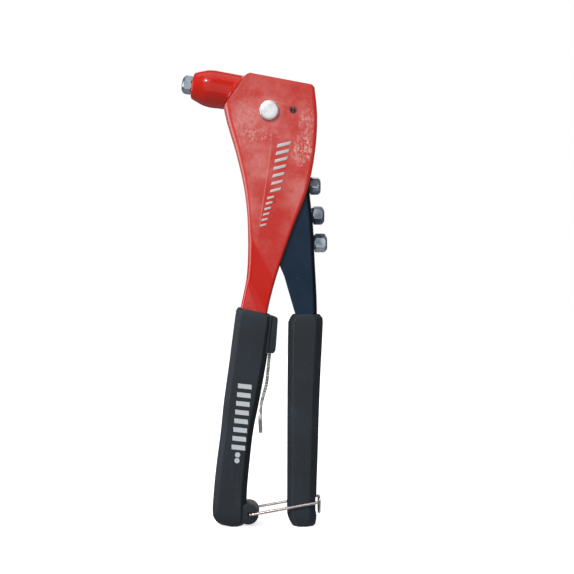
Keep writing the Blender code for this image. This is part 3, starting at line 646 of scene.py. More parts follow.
@dataclass(frozen=True)
class Enamel:
    """Glossy red enamel with a painted sheen on the flat cheeks, deep on every bend, a painted reflection on the bends
    that face left, and painted shadow under the barrel. The sheen is a painted reflection of a broad soft light.

    Attributes:
        rear: Height and x of the cheeks' rear edge.
        rubbed: Strength, middle (x, z) and half sizes of each rubbed oval on the near cheek.
        cuts: Slope, height at x = 0, and ends in x of each scratch, in metres.
    """

    deep: Colour = (0.60, 0.014, 0.006)
    # painted_sheen: pale pink that paints the reflection of a broad soft light on the cheeks
    painted_sheen: Colour = (0.75, 0.215, 0.195)
    scuff: Colour = (0.86, 0.50, 0.44)
    shadow: Colour = (0.27, 0.010, 0.006)
    rear: Sequence[Flat] = (
        (122.0, 7.3), (145.0, 13.0), (172.0, 22.4), (193.0, 30.5),
        (214.0, 34.9), (235.0, 36.3), (254.0, 34.6), (266.0, 33.0),
    )  # fmt: skip
    rubbed: Sequence[Row] = (
        (1.3, 31.0, 232.0, 6.0, 9.5), (1.6, 27.5, 216.0, 7.5, 10.5),
        (0.6, 4.0, 225.0, 13.0, 4.5), (0.5, -4.0, 230.0, 7.0, 14.0),
    )  # fmt: skip
    cuts: Sequence[Row] = (
        (-0.62, 0.2385, -0.012, 0.006), (-0.55, 0.2330, -0.010, 0.003), (-0.85, 0.2292, -0.009, 0.010),
        (0.45, 0.2262, -0.004, 0.009), (-1.30, 0.2210, -0.004, 0.004), (-0.30, 0.2475, 0.004, 0.020),
        (1.10, 0.1935, 0.006, 0.016),
    )  # fmt: skip

    def _oval(self, bench: Bench, x: float, z: float, wide: float, high: float) -> Reading:
        """Adds a soft oval.

        Args:
            bench: The material's tree.
            x: Its middle's x in millimetres.
            z: Its middle's height.
            wide: Half its width.
            high: Half its height.

        Returns:
            The mask.
        """
        px, _, pz = bench.place()
        reach = ((px * 1000.0 - x) * (1.0 / wide)) ** 2.0 + ((pz * 1000.0 - z) * (1.0 / high)) ** 2.0
        return bench.step(reach, 1.0, 0.25)

    def _near(self, bench: Bench) -> Reading:
        """Returns 1 on the near side."""
        return bench.step(bench.facing()[1], 0.0, -0.5)

    def _run(self, bench: Bench) -> Reading:
        """Returns the distance in x from the clean line in front of the marks."""
        x, _, z = bench.place()
        return x - 0.146 * z + 0.0219

    def _panel(self, bench: Bench) -> Reading:
        """Finds the ground beside the marks, which ends in a clean line in front.

        Args:
            bench: The material's tree.

        Returns:
            The mask.
        """
        z, run = bench.place()[2], self._run(bench)
        panel = bench.step(run, 0.0, 0.0003) * (1.0 - bench.step(run, 0.009, 0.018))
        return panel * bench.step(z, 0.146, 0.172) * (1.0 - bench.step(z, 0.218, 0.226)) * self._near(bench)

    def _painted_sheen_mask(self, bench: Bench) -> Reading:
        """Finds where the painted sheen, a painted reflection of a broad soft light, lies on the cheeks: above the
        joggle, less near the edges and beside the marks.

        Args:
            bench: The material's tree.

        Returns:
            The mask.
        """
        x, _, z = bench.place()
        flat = bench.step(abs(bench.facing()[1]), 0.9, 0.985)
        above = bench.step(z + 1.85 * x, 0.1625, 0.1655)
        below = 0.42 * (1.0 - bench.step(z + 2.87 * x, 0.1265, 0.1300))
        low, high, scale = self.rear[0][0], self.rear[-1][0], 50.0
        stops = [((h - low) / (high - low), (r / scale,) * 3) for h, r in self.rear]
        share = (z * 1000.0 - low) * (1.0 / (high - low))
        ramp = bench.node("ShaderNodeValToRGB", {"stops": stops}, {0: share})
        strip = bench.step(Reading(bench, ramp.outputs[0]) * scale - x * 1000.0, 1.3, 2.3)
        height = bench.step(z, 0.150, 0.205) * 0.62 + 0.38
        crown = 1.0 - 0.5 * bench.step(z + 0.18 * x, 0.247, 0.259)
        return flat * (above * height * crown + below) * strip * (1.0 - 0.5 * self._panel(bench))

    def _scratches(self, bench: Bench) -> Reading:
        """Draws fine slanted scratches on the near cheek, and the clean line in front of the marks.

        Args:
            bench: The material's tree.

        Returns:
            The mask.
        """
        x, _, z = bench.place()
        lines: Operand = 0.0
        for slope, offset, start, end in self.cuts:
            near = bench.step(abs(z - slope * x - offset - 0.0006 * bench.cloud(6.0)), 0.00022, 0.00006)
            lines = lines + near * bench.step(x, start, start + 0.004) * bench.step(x, end, end - 0.004)
        clean = bench.step(abs(self._run(bench)), 0.0003, 0.0001)
        clean = clean * bench.step(z, 0.168, 0.180) * bench.step(z, 0.222, 0.214)
        return (lines * 0.5 + clean * 0.5) * self._near(bench)

    def _cheek(self, bench: Bench, broad: Reading, fine: Reading) -> tuple[object, Reading, Reading]:
        """Lays the painted sheen, the rubbed spots and the scratches, and the painted reflection on the bends that face
        left.

        Args:
            bench: The material's tree.
            broad: Noise in wide patches.
            fine: Noise in small patches.

        Returns:
            The colour, what is added to the roughness, and the coat's weight.
        """
        mask, near, side = self._painted_sheen_mask(bench), self._near(bench), abs(bench.facing()[1])
        # Painted sheen: pale pink over the flat cheeks, stronger towards the front, where a broad soft light would
        # reflect
        front = self._oval(bench, -3.0, 229.0, 12.0, 17.0) * near
        tone = mask * (0.2 + 0.72 * bench.step(broad, 0.36, 0.68) + 0.3 * front) * (0.5 + 0.8 * fine)
        colour: object = bench.mix(tone, self.deep, self.painted_sheen)
        spots: Operand = 0.0
        for strength, *oval in self.rubbed:
            spots = strength * self._oval(bench, *oval) + spots
        smear = bench.step(bench.cloud(1.5, 5.0, 0.8, (1.0, 1.0, 0.7)), 0.46, 0.66)
        rub = smear * (spots * near + 0.16)
        colour = bench.mix(rub * mask * 0.62, colour, self.scuff)
        colour = bench.mix(self._scratches(bench) * (0.4 + 0.6 * fine), colour, self.scuff)
        # Painted reflection: above the joggle, bends that face left are paled towards the sheen colour, as if a light
        # on the left reflected in them
        bend = bench.step(bench.facing()[0], -0.25, -0.6) * bench.step(side, 0.1, 0.35)
        colour = bench.mix(bend * bench.step(bench.place()[2], 0.140, 0.200) * 0.45, colour, self.painted_sheen)
        return colour, 0.16 * mask + 0.12 * rub, 1.0 - 0.85 * bench.step(side, 0.72, 0.86)

    def dress(self, name: str, zone: Zone) -> bpy.types.Material:
        """Makes the finish for one part of the body.

        Args:
            name: Name of the material.
            zone: Which part it is for.

        Returns:
            The material.
        """
        bench = Bench(name)
        broad, fine = bench.cloud(17.0, 3.0, 0.6), bench.cloud(2.6, 4.0, 0.7)
        rough = 0.16 + 0.10 * broad
        if zone is Zone.CHEEK:
            colour, more, coat = self._cheek(bench, broad, fine)
            rough = rough + more
        else:
            under = bench.step(bench.facing()[2], 0.1, -0.95)
            colour, coat = bench.mix(under * 0.25, self.deep, self.shadow), 0.22 + 0.1 * broad
        chip = bench.edge(0.7) * bench.step(fine, 0.46, 0.62)
        return bench.finish(
            Base_Color=bench.mix(chip * 0.3, colour, self.scuff),
            Roughness=rough,
            Normal=bench.bump(bench.cloud(1.1, 2.0) + 0.35 * fine, 0.05, 0.5),
            Specular_IOR_Level=0.2,
            Coat_Weight=coat,
            Coat_Roughness=0.07,
        )


@dataclass(frozen=True)
class BlueBlack:
    """Blue-black lacquer over the folded lever, with a few pale flecks, and painted shade that takes the surfaces
    facing +X to near black.
    """

    base: Colour = (0.0035, 0.0185, 0.0450)
    dull: Colour = (0.0070, 0.0240, 0.0520)
    # rear: near black, the painted shade on surfaces that face +X
    rear: Colour = (0.0015, 0.0025, 0.0045)
    fleck: Colour = (0.22, 0.24, 0.27)
    bare: Colour = (0.16, 0.17, 0.18)

    def dress(self, name: str) -> bpy.types.Material:
        """Makes the finish.

        Args:
            name: Name of the material.

        Returns:
            The material.
        """
        bench = Bench(name)
        broad, fine = bench.cloud(12.0), bench.cloud(1.3, 3.0, 0.6)
        colour = bench.mix(bench.step(broad, 0.35, 0.7), self.base, self.dull)
        # Painted shade: surfaces that face +X go near black, as if no light came from that side
        colour = bench.mix(bench.step(bench.facing()[0], 0.12, 0.55) * 0.9, colour, self.rear)
        colour = bench.mix(bench.step(bench.cloud(1.3, 0.0), 0.855, 0.875), colour, self.fleck)
        colour = bench.mix(bench.edge(0.6) * bench.step(fine, 0.42, 0.6) * 0.3, colour, self.bare)
        scratch = bench.step(bench.cloud(3.0, 2.0, 0.5, (9.0, 1.0, 0.5)), 0.62, 0.70)
        normal = bench.bump(bench.cloud(0.8, 2.0) + 0.4 * scratch, 0.05, 0.5)
        rough = 0.34 + 0.16 * broad + 0.1 * scratch
        return bench.finish(Base_Color=colour, Specular_IOR_Level=0.22, Roughness=rough, Normal=normal)


@dataclass(frozen=True)
class Moulding:
    """Charcoal moulded plastic with a fine spark-eroded grain. It is paler on its edges, which is rubbed wear and a
    painted edge highlight in one, and paler in upright streaks, which are handling polish and a painted sheen in one.
    """

    base: Colour = (0.0190, 0.0240, 0.0290)
    cool: Colour = (0.0215, 0.0285, 0.0395)
    # rubbed: paler grey for rubbed wear, also used for the painted edge highlight and the painted sheen
    rubbed: Colour = (0.058, 0.066, 0.074)

    def dress(self, name: str) -> bpy.types.Material:
        """Makes the finish.

        Args:
            name: Name of the material.

        Returns:
            The material.
        """
        bench = Bench(name)
        broad, grain = bench.cloud(26.0, 2.0), bench.cloud(0.42, 2.0, 0.6)
        # Upright streaks, paler and smoother: handling polish and a painted sheen in one
        polish_and_sheen = bench.step(bench.cloud(7.0, 4.0, 0.7, (1.0, 1.0, 0.4)), 0.54, 0.72)
        colour = bench.mix(bench.step(broad, 0.38, 0.64), self.base, self.cool)
        colour = bench.mix(polish_and_sheen * 0.22, colour, self.rubbed)
        # Paler edges: rubbed wear and a painted edge highlight in one
        colour = bench.mix(bench.edge(0.6) * 0.75, colour, self.rubbed)
        normal = bench.bump(grain + 0.3 * bench.cloud(1.6), 0.06, 0.55)
        rough = 0.50 + 0.12 * grain - 0.10 * polish_and_sheen
        return bench.finish(Base_Color=colour, Roughness=rough, Normal=normal, Specular_IOR_Level=0.28)


@dataclass(frozen=True)
class Metal:
    """A bare or plated metal.

    Attributes:
        light: Colour where it is clean.
        dark: Colour in its stains; on the zinc plate the stains are painted dark reflections as well.
        rough: Its roughness.
        lines: How many times finer its marks are along each axis.
        grain: Size of its marks in millimetres.
        relief: Depth of its marks in millimetres.
        patch: Size of its stain patches in millimetres, which on the zinc plate are painted dark reflections as well.
    """

    light: Colour
    dark: Colour
    rough: float
    lines: Row = (1.0, 1.0, 1.0)
    grain: float = 0.8
    relief: float = 0.015
    patch: float = 3.4

    def dress(self, name: str, centre: Flat | None = None) -> bpy.types.Material:
        """Makes the finish.

        Args:
            name: Name of the material.
            centre: The (x, z) point that turning marks go round, if there are any.

        Returns:
            The material.
        """
        bench = Bench(name)
        # Stains, which on the zinc plate are also painted dark reflections
        stain_and_dark_reflection = bench.step(bench.cloud(self.patch, 3.0, 0.6), 0.40, 0.70)
        marks = bench.cloud(self.grain, 3.0, 0.6, self.lines)
        if centre is not None:
            marks = 0.6 * marks + 0.4 * bench.rings(*centre, 0.16)
        colour = bench.mix(bench.edge(0.35) * 0.6, bench.mix(stain_and_dark_reflection, self.light, self.dark), self.light)
        normal, rough = bench.bump(marks, self.relief, 0.6), self.rough + 0.14 * marks + 0.08 * stain_and_dark_reflection
        return bench.finish(Base_Color=colour, Metallic=1.0, Roughness=rough, Normal=normal)


@dataclass(frozen=True)
class Print:
    """Pale ink or filled-in paint on a mark, thin in places."""

    ink: Colour = (0.62, 0.60, 0.585)
    thin: Colour = (0.40, 0.33, 0.32)

    def dress(self, name: str) -> bpy.types.Material:
        """Makes the finish.

        Args:
            name: Name of the material.

        Returns:
            The material.
        """
        bench = Bench(name)
        patch = bench.step(bench.cloud(0.9, 4.0, 0.7), 0.52, 0.72)
        colour = bench.mix(0.6 * patch + 0.35 * bench.edge(0.25), self.ink, self.thin)
        normal = bench.bump(bench.cloud(0.5), 0.02, 0.5)
        return bench.finish(Base_Color=colour, Roughness=0.48 + 0.2 * patch, Normal=normal)


class Finishes:
    """Every finish of the tool, made once."""

    def __init__(self, pivot: Flat) -> None:
        """Makes the materials.

        Args:
            pivot: x and height of the pin, whose turning marks are centred on it.
        """
        self.cheek = Enamel().dress("red_enamel_cheek", Zone.CHEEK)
        self.barrel = Enamel().dress("red_enamel_barrel", Zone.BARREL)
        self.lever = BlueBlack().dress("blue_black_lacquer")
        self.grip = Moulding().dress("charcoal_moulding")
        # The zinc's stain patches, about as large as a nosepiece's facets, also paint dark reflections onto whole
        # facets
        plating = Metal((0.42, 0.47, 0.54), (0.15, 0.18, 0.22), 0.09, grain=1.6, relief=0.006, patch=9.0)
        self.zinc = plating.dress("bright_zinc_plate")
        self.pivot = Metal((0.86, 0.87, 0.88), (0.72, 0.73, 0.75), 0.34, grain=0.9).dress("turned_steel", pivot)
        self.steel = Metal((0.62, 0.62, 0.63), (0.40, 0.40, 0.41), 0.24, (1.0, 1.0, 6.0)).dress("ground_steel")
        self.dark = Metal((0.13, 0.12, 0.12), (0.05, 0.045, 0.045), 0.38).dress("blackened_steel")
        self.wire = Metal((0.66, 0.59, 0.57), (0.30, 0.23, 0.21), 0.14, (1.0, 4.0, 4.0)).dress("plated_wire")
        self.stamped = Metal((0.56, 0.55, 0.54), (0.24, 0.23, 0.22), 0.2, (1.0, 1.0, 5.0)).dress("stamped_steel")
        self.raised = Print().dress("raised_mark_paint")
        self.ink = Print((0.58, 0.62, 0.65), (0.30, 0.33, 0.35)).dress("printed_mark_ink")


# ---------------------------------------------------------------- repeated and swept shapes


class Recipe:
    """A Geometry Nodes tree with named inputs."""

    def __init__(self, name: str, inputs: dict[str, str]) -> None:
        """Starts a tree.

        Args:
            name: Its name.
            inputs: The socket type of each named input.
        """
        self.tree = bpy.data.node_groups.new(name, "GeometryNodeTree")
        face = self.tree.interface
        face.new_socket(name="Geometry", in_out="INPUT", socket_type="NodeSocketGeometry")
        self.keys = {
            key: face.new_socket(name=key, in_out="INPUT", socket_type="NodeSocket" + kind).identifier
            for key, kind in (inputs | {"Finish": "Material"}).items()
        }
        face.new_socket(name="Geometry", in_out="OUTPUT", socket_type="NodeSocketGeometry")
        self.given = self.tree.nodes.new("NodeGroupInput").outputs

    def node(self, kind: str, settings: dict | None = None, inputs: dict | None = None) -> bpy.types.Node:
        """Adds a node.

        Args:
            kind: The node's type after "GeometryNode", or its whole type.
            settings: Properties to set first.
            inputs: Values or sockets by input name or index.

        Returns:
            The node.
        """
        node = self.tree.nodes.new(kind if kind.startswith("Shader") else "GeometryNode" + kind)
        for key, value in (settings or {}).items():
            setattr(node, key, value)
        for key, value in (inputs or {}).items():
            if isinstance(value, bpy.types.NodeSocket):
                self.tree.links.new(value, node.inputs[key])
            else:
                node.inputs[key].default_value = value
        return node

    def sum(self, operation: str, first: object, second: object) -> bpy.types.NodeSocket:
        """Adds one Math node and returns its result."""
        return self.node("ShaderNodeMath", {"operation": operation}, {0: first, 1: second}).outputs[0]

    def close(self, shape: bpy.types.NodeSocket) -> None:
        """Ends the tree with Realize Instances and Set Material.

        Args:
            shape: What the tree has made.
        """
        real = self.node("RealizeInstances", inputs={"Geometry": shape})
        coated = self.node("SetMaterial", inputs={"Geometry": real.outputs[0], "Material": self.given["Finish"]})
        out = self.tree.nodes.new("NodeGroupOutput")
        self.tree.links.new(coated.outputs[0], out.inputs[0])

    def sweep(self, curve: bpy.types.NodeSocket, radius: str) -> None:
        """Ends the tree with a round wire along a curve.

        Args:
            curve: The curve.
            radius: The input that holds the wire's radius.
        """
        inputs = {"Resolution": self.given["Sides"], "Radius": self.given[radius]}
        ring = self.node("CurvePrimitiveCircle", {"mode": "RADIUS"}, inputs).outputs[0]
        swept = self.node("CurveToMesh", inputs={"Curve": curve, "Profile Curve": ring, "Fill Caps": True})
        self.close(swept.outputs[0])

    def make(self, name: str, path: Sequence[Vector], angle: float = 40.0, **values: object) -> bpy.types.Object:
        """Runs the tree along a path.

        Args:
            name: Name of the new object.
            path: Points in millimetres that the shape follows.
            angle: Edges sharper than this many degrees stay sharp.
            **values: The named inputs, with _ for a space.

        Returns:
            The result as a plain mesh object.
        """
        mesh = bpy.data.meshes.new(name)
        mesh.from_pydata([p * MM for p in path], [(k, k + 1) for k in range(len(path) - 1)], [])
        obj = mesh_object(name, mesh)
        modifier = obj.modifiers.new("shape", "NODES")
        modifier.node_group = self.tree
        for key, value in values.items():
            modifier[self.keys[key.replace("_", " ")]] = value
        return applied(obj, angle)


class Copies(Recipe):
    """Copies of one small shape along a path, shrinking towards its end."""

    def __init__(self) -> None:
        """Builds the tree."""
        super().__init__("copies_in_a_row", {"Shape": "Object", "Count": "Int", "Shrink": "Float"})
        count = self.given["Count"]
        curve = self.node("MeshToCurve", inputs={0: self.given["Geometry"]}).outputs[0]
        points = self.node("CurveToPoints", {"mode": "COUNT"}, {"Curve": curve, "Count": count}).outputs["Points"]
        shape = self.node("ObjectInfo", {"transform_space": "ORIGINAL"}, {"Object": self.given["Shape"]})
        part = self.sum("DIVIDE", self.node("InputIndex").outputs[0], self.sum("SUBTRACT", count, 1.0))
        size = self.sum("SUBTRACT", 1.0, self.sum("MULTIPLY", part, self.given["Shrink"]))
        inputs = {"Points": points, "Instance": shape.outputs["Geometry"], "Scale": size}
        self.close(self.node("InstanceOnPoints", inputs=inputs).outputs[0])

    def lay(
        self, shape: bpy.types.Object, ends: Sequence[Vector], count: int, shrink: float, finish: object
    ) -> bpy.types.Object:
        """Repeats a small shape along a path and uses it up.

        Args:
            shape: The shape, about the origin.
            ends: Points of the path in millimetres.
            count: Number of copies.
            shrink: How much smaller the last one is, as a share.
            finish: The material.

        Returns:
            The copies as one object.
        """
        made = self.make("copies", ends, Shape=shape, Count=count, Shrink=shrink, Finish=finish)
        bpy.data.objects.remove(shape, do_unlink=True)
        return made


class Wire(Recipe):
    """A round wire along a path, with closed ends."""

    def __init__(self) -> None:
        """Builds the tree."""
        super().__init__("wire_along_a_path", {"Radius": "Float", "Sides": "Int"})
        self.sweep(self.node("MeshToCurve", inputs={0: self.given["Geometry"]}).outputs[0], "Radius")


class Coil(Recipe):
    """A helix of wire, for a spring or for the ridge of a thread."""

    def __init__(self) -> None:
        """Builds the tree."""
        sizes = {"Turns": "Float", "Radius": "Float", "Length": "Float", "Wire Radius": "Float", "Sides": "Int"}
        super().__init__("coil", sizes)
        names = {"Rotations": "Turns", "Start Radius": "Radius", "End Radius": "Radius", "Height": "Length"}
        inputs = {"Resolution": 40} | {key: self.given[value] for key, value in names.items()}
        helix = self.node("CurveSpiral", inputs=inputs).outputs[0]
        upright = self.node("SetCurveNormal", inputs={"Curve": helix})
        if "mode" in upright.bl_rna.properties:
            upright.mode = "Z_UP"
        else:
            upright.inputs["Mode"].default_value = "Z Up"
        self.sweep(upright.outputs[0], "Wire Radius")

    def about(self, name: str, axis: Axis, place: float, **values: object) -> bpy.types.Object:
        """Makes a coil about an axis, starting at a place along it.

        Args:
            name: Name of the object.
            axis: The axis.
            place: Where the first turn starts, in millimetres.
            **values: The named inputs.

        Returns:
            The coil.
        """
        obj = self.make(name, [Vector((0.0, 0.0, 0.0))], **values)
        over = axis.along.cross(axis.across)
        turn = Matrix((axis.across, over, axis.along)).transposed().to_4x4()
        obj.data.transform(Matrix.Translation(axis.point(place) * MM) @ turn)
        return obj


@dataclass
class Recipes:
    """The trees that the pieces share."""

    copies: Copies
    wire: Wire
    coil: Coil


@dataclass
class Part:
    """What every sub-assembly is given: the finishes and the trees."""

    finishes: Finishes
    recipes: Recipes


# ---------------------------------------------------------------- the tool's pieces


@dataclass
class FoldedBody(Part):
    """The red body: one folded channel with two cheeks, joggled in towards the grip.

    Attributes:
        stations: Height, front x, rear x and corner radius.
        top: x and height of the head's outline.
    """

    pivot: Flat
    stop: Flat = (22.5, 239.2)
    stations: Sequence[Row] = (
        (50.0, -16.2, -4.2, 2.6), (95.8, -11.2, 4.4, 2.8), (122.0, -8.5, 7.3, 2.9), (145.0, -4.2, 13.0, 2.9),
        (172.0, -3.5, 22.4, 3.2), (193.0, -5.4, 30.5, 3.6), (214.0, -10.1, 34.9, 4.4), (235.0, -16.2, 36.3, 5.2),
        (254.0, -19.5, 34.6, 5.4), (266.0, -20.0, 33.0, 5.4),
    )  # fmt: skip
    top: Sequence[Row] = ((-40.0, 212.0), (-14.5, 245.3), (-4.1, 260.1), (-2.4, 260.6), (33.3, 253.9), (60.0, 222.8))
    wall: float = 2.2
    head_half: float = 13.0
    tang_half: float = 8.5
    joggle: Flat = (135.0, 165.0)
    joggle_slope: float = 1.85
    fold: float = 0.06
    foot: float = 50.0
    shoulder: float = 205.0
    edge: float = 1.2
    inner_edge: float = 0.6

    def half(self, x: float, z: float) -> float:
        """Finds the half width at a point of the side view.

        Args:
            x: The point's x in millimetres.
            z: Its height in millimetres.

        Returns:
            The half width in millimetres.
        """
        low, high = self.joggle
        t = (z + self.joggle_slope * x - low) / (high - low)
        ramp = min(max(t, 0.0), 1.0)
        for fold, sense in ((0.0, 1.0), (1.0, -1.0)):
            ramp += sense * max(self.fold - abs(t - fold), 0.0) ** 2 / (4.0 * self.fold)
        return self.tang_half + (self.head_half - self.tang_half) * ramp

    def _settled(self, level: float, lift: float, x_at: Callable[[float, float, float], float]) -> Flat:
        """Finds where a lengthwise line of the skin meets a level.

        Args:
            level: Height up to the shoulder. Above it, the shoulder plus the share of the way on to the top.
            lift: How far below the level the point lies.
            x_at: The line's x from the front, the rear and the corner radius at a height.

        Returns:
            The point's x and z.
        """
        z = min(level, self.shoulder)
        for _ in range(7):
            x = x_at(*read(self.stations, z))
            if level > self.shoulder:
                z = self.shoulder + (read(self.top, x, False)[0] - self.shoulder) * (level - self.shoulder) - lift
        return x_at(*read(self.stations, z)), z

    def _section(self, level: float, lift: float, wall: float) -> list[Vector]:
        """Makes one section, from the near free edge round to the far one.

        Args:
            level: Its level, as in _settled.
            lift: How far below the level it lies.
            wall: 0 for the outer skin, or the sheet's thickness for the inner one.

        Returns:
            The section's points.
        """
        size, sense = (self.inner_edge, -1.0) if wall else (self.edge, 1.0)
        lines: list[tuple[Callable, Callable]] = []
        for a in spread(0.0, QUARTER, 6)[:-1]:
            drop = wall + sense * size * (1.0 - math.sin(a))
            lines.append((lambda f, r, c, a=a: r - size * (1.0 - math.cos(a)), lambda c, drop=drop: drop))
        for t in spread(1.0, 0.0, 34):
            lines.append((lambda f, r, c, t=t: f + c + (r - self.edge - f - c) * t, lambda c: wall))
        for a in spread(0.0, QUARTER, 8)[1:]:
            x_at = lambda f, r, c, a=a: f + wall + (c - wall) * (1.0 - math.sin(a))  # noqa: E731
            lines.append((x_at, lambda c, a=a: wall + (c - wall) * (1.0 - math.cos(a))))
        side = []
        for x_at, drop_at in lines:
            x, z = self._settled(level, lift, x_at)
            side.append(Vector((x, self.half(x, z) - drop_at(read(self.stations, z)[2]), z)))
        return [Vector((p.x, -p.y, p.z)) for p in side] + side[::-1]

    def shell(self) -> bpy.types.Object:
        """Makes the folded sheet, with its rims rounded and its two cross holes.

        Returns:
            The body.
        """
        levels = spread(self.foot, 122.0, 9)[:-1] + spread(122.0, 170.0, 48)[:-1]
        levels += spread(170.0, self.shoulder, 14)[:-1] + [self.shoulder + t for t in spread(0.0, 0.985, 24)]
        rows = [self._section(level, 0.0, 0.0) for level in levels]
        rim = ((0.5, 0.0), (0.2, 0.08), (0.05, 0.2), (0.0, 0.4), (0.0, 0.6), (0.05, 0.8), (0.2, 0.92), (0.5, 1.0))
        for lift, share in rim:
            outer, inner = (self._section(self.shoulder + 1.0, lift, wall) for wall in (0.0, self.wall))
            rows.append([a.lerp(b, share) for a, b in zip(outer, inner)])
        rows += [self._section(level, 0.0, self.wall) for level in reversed(levels)]
        count = len(rows[0])
        faces = quads(len(rows), count, True, False)
        for k in (0, count - 1):
            for r in range(len(rows) // 2 - 1):
                across = (len(rows) - 2 - r) * count + k
                faces.append((r * count + k, (r + 1) * count + k, across, across + count))
        obj = solid("body_shell", [p for row in rows for p in row], faces)
        room = pulling_axis().turned("room", ((10.0, 10.7), (40.0, 10.7)), 72)
        carved(obj, [room, cross_hole(*self.stop, 2.15, 32)])
        carved(obj, [cross_hole(*self.pivot, 4.25, 48)])
        return dressed(obj, self.finishes.cheek)

    def marks(self) -> bpy.types.Object:
        """Makes the plain raised marks on the near cheek: slanted bars, then short bars, with no letters.

        Returns:
            The marks.
        """
        bar = ((-4.3, -2.1), (3.5, -0.2), (4.3, 1.9), (-3.5, 0.0))
        short = ((-2.2, -1.3), (1.9, -0.3), (2.2, 1.1), (-1.9, 0.1))
        rows = ((bar, (17.2, 219.5), (12.4, 193.5), 7, 0.22), (short, (9.6, 189.2), (5.4, 173.5), 6, 0.2))
        parts = []
        for shape, start, end, count, shrink in rows:
            piece = eased(plate("bar", shape, -0.28, 0.28), 0.14)
            ends = [Vector((x, -self.head_half, z)) for x, z in (start, end)]
            parts.append(self.recipes.copies.lay(piece, ends, count, shrink, self.finishes.raised))
        return fused("cheek_marks", parts)

    def build(self) -> None:
        """Makes the body and its marks and hands them over."""
        settle(self.shell(), "body", "body_frame")
        ride(self.marks(), "body")


@dataclass
class Barrel(Part):
    """The bullet-shaped barrel with its slanted collar."""

    profile: Sequence[Row] = (
        (0.0, 7.0), (0.5, 7.6), (4.0, 9.05), (7.5, 10.3), (11.5, 10.85), (15.5, 10.78), (19.0, 10.55),
    )  # fmt: skip
    notch: Sequence[Flat] = ((-14.5, 245.3), (-3.6, 260.8))
    neck: float = 10.6
    bore: float = 7.15
    thread: float = 5.2
    thread_depth: float = 9.0
    tail: float = 10.0
    end: float = 33.5
    count: int = 96

    def _slanted(self, axis: Axis, offset: float, radius_at: Callable[[float], float]) -> list[Vector]:
        """Makes a ring in a plane along the head's slanted front edge.

        Args:
            axis: The barrel's axis.
            offset: How far in front of the edge the plane is, in millimetres.
            radius_at: The ring's radius by angle.

        Returns:
            The ring's points.
        """
        low, high = (Vector((x, 0.0, z)) for x, z in self.notch)
        edge = (high - low).normalized()
        normal = Vector((edge.z, 0.0, -edge.x))
        ring = []
        for point in axis.ring(0.0, radius_at, self.count):
            place = (low - normal * offset - point).dot(normal) / axis.along.dot(normal)
            ring.append(point + axis.along * place)
        return ring

    def build(self) -> None:
        """Makes the barrel and hands it over."""
        axis = pulling_axis()

        def collar(angle: float) -> float:
            """Returns the collar's radius, fullest towards the top."""
            return 10.5 + 1.7 * ease(1.1 + 1.5 * math.cos(angle))

        rows = [(0.0, self.thread), (0.0, 6.7), (0.15, 7.1)]
        rows += [(s, read(self.profile, s)[0]) for s in spread(0.5, 14.5, 20)]
        rings = [axis.ring(place, radius, self.count) for place, radius in rows]
        rings += [self._slanted(axis, offset, lambda a: self.neck) for offset in (3.4, 2.6)]
        for offset, share in ((2.0, 0.08), (1.6, 0.3), (1.2, 0.62), (0.85, 0.88), (0.55, 1.0), (0.38, 0.97)):
            rings.append(self._slanted(axis, offset, lambda a, share=share: 10.55 + (collar(a) - 10.55) * share))
        rings.append(self._slanted(axis, 0.3, lambda a: self.tail))
        depth = self.thread_depth
        for place, radius in ((self.end, self.tail), (self.end, self.bore), (depth, self.bore), (depth, self.thread)):
            rings.append(axis.ring(place, radius, self.count))
        obj = dressed(loft("barrel_shell", rings, True, 32.0), self.finishes.barrel)
        settle(obj, "body", "barrel")


@dataclass
class Nosepiece(Part):
    """One nosepiece: chamfered hexagon, threaded shank, and the tail that opens the jaws."""

    name: str
    body: str
    node: str
    axis: Axis
    height: float
    hole: float
    turn: float
    flats: float = 9.5
    core: float = 4.35
    tail: float = 2.85
    count: int = 96

    def build(self) -> None:
        """Makes the nosepiece and hands it over."""
        half, height, hole, tail, start = 0.5 * self.flats, self.height, self.hole, self.tail, -math.radians(self.turn)

        def hexagon(limit: float) -> Callable[[float], float]:
            """Returns the hexagon's radius by angle, cut to a limit."""
            side = math.radians(60.0)
            return lambda angle: min(half / math.cos((angle - start) % side - 0.5 * side), limit)

        rows: list[tuple[float, Radius]] = [(-15.4, hole), (-15.7, hole + 0.2), (-15.7, tail - 0.5), (-15.0, tail)]
        rows += [(-8.9, tail), (-8.2, self.core), (0.0, self.core)]
        head = [(0.0, 4.9), (0.25, 5.15), (0.6, 5.6)]
        head += [(height + drop, limit) for drop, limit in ((-2.3, 5.6), (-1.7, 5.35), (-1.15, 4.95), (-0.7, 4.45))]
        rows += [(place, hexagon(limit)) for place, limit in head]
        rows += [(height - 0.3, 3.95), (height - 0.06, 3.45), (height, 3.0)]
        rows += [(height, hole + 0.25), (height - 0.25, hole)]
        rings = [self.axis.ring(place, radius, self.count, start) for place, radius in rows]
        zinc = self.finishes.zinc
        body = dressed(loft("nose", rings, True, 24.0), zinc)
        sizes = {"Turns": 8.0, "Radius": self.core * MM, "Length": 7.6 * MM, "Wire_Radius": 0.44 * MM, "Sides": 4}
        thread = self.recipes.coil.about("thread", self.axis, -7.9, Finish=zinc, angle=30.0, **sizes)
        settle(fused(self.name, [body, thread]), self.body, self.node)


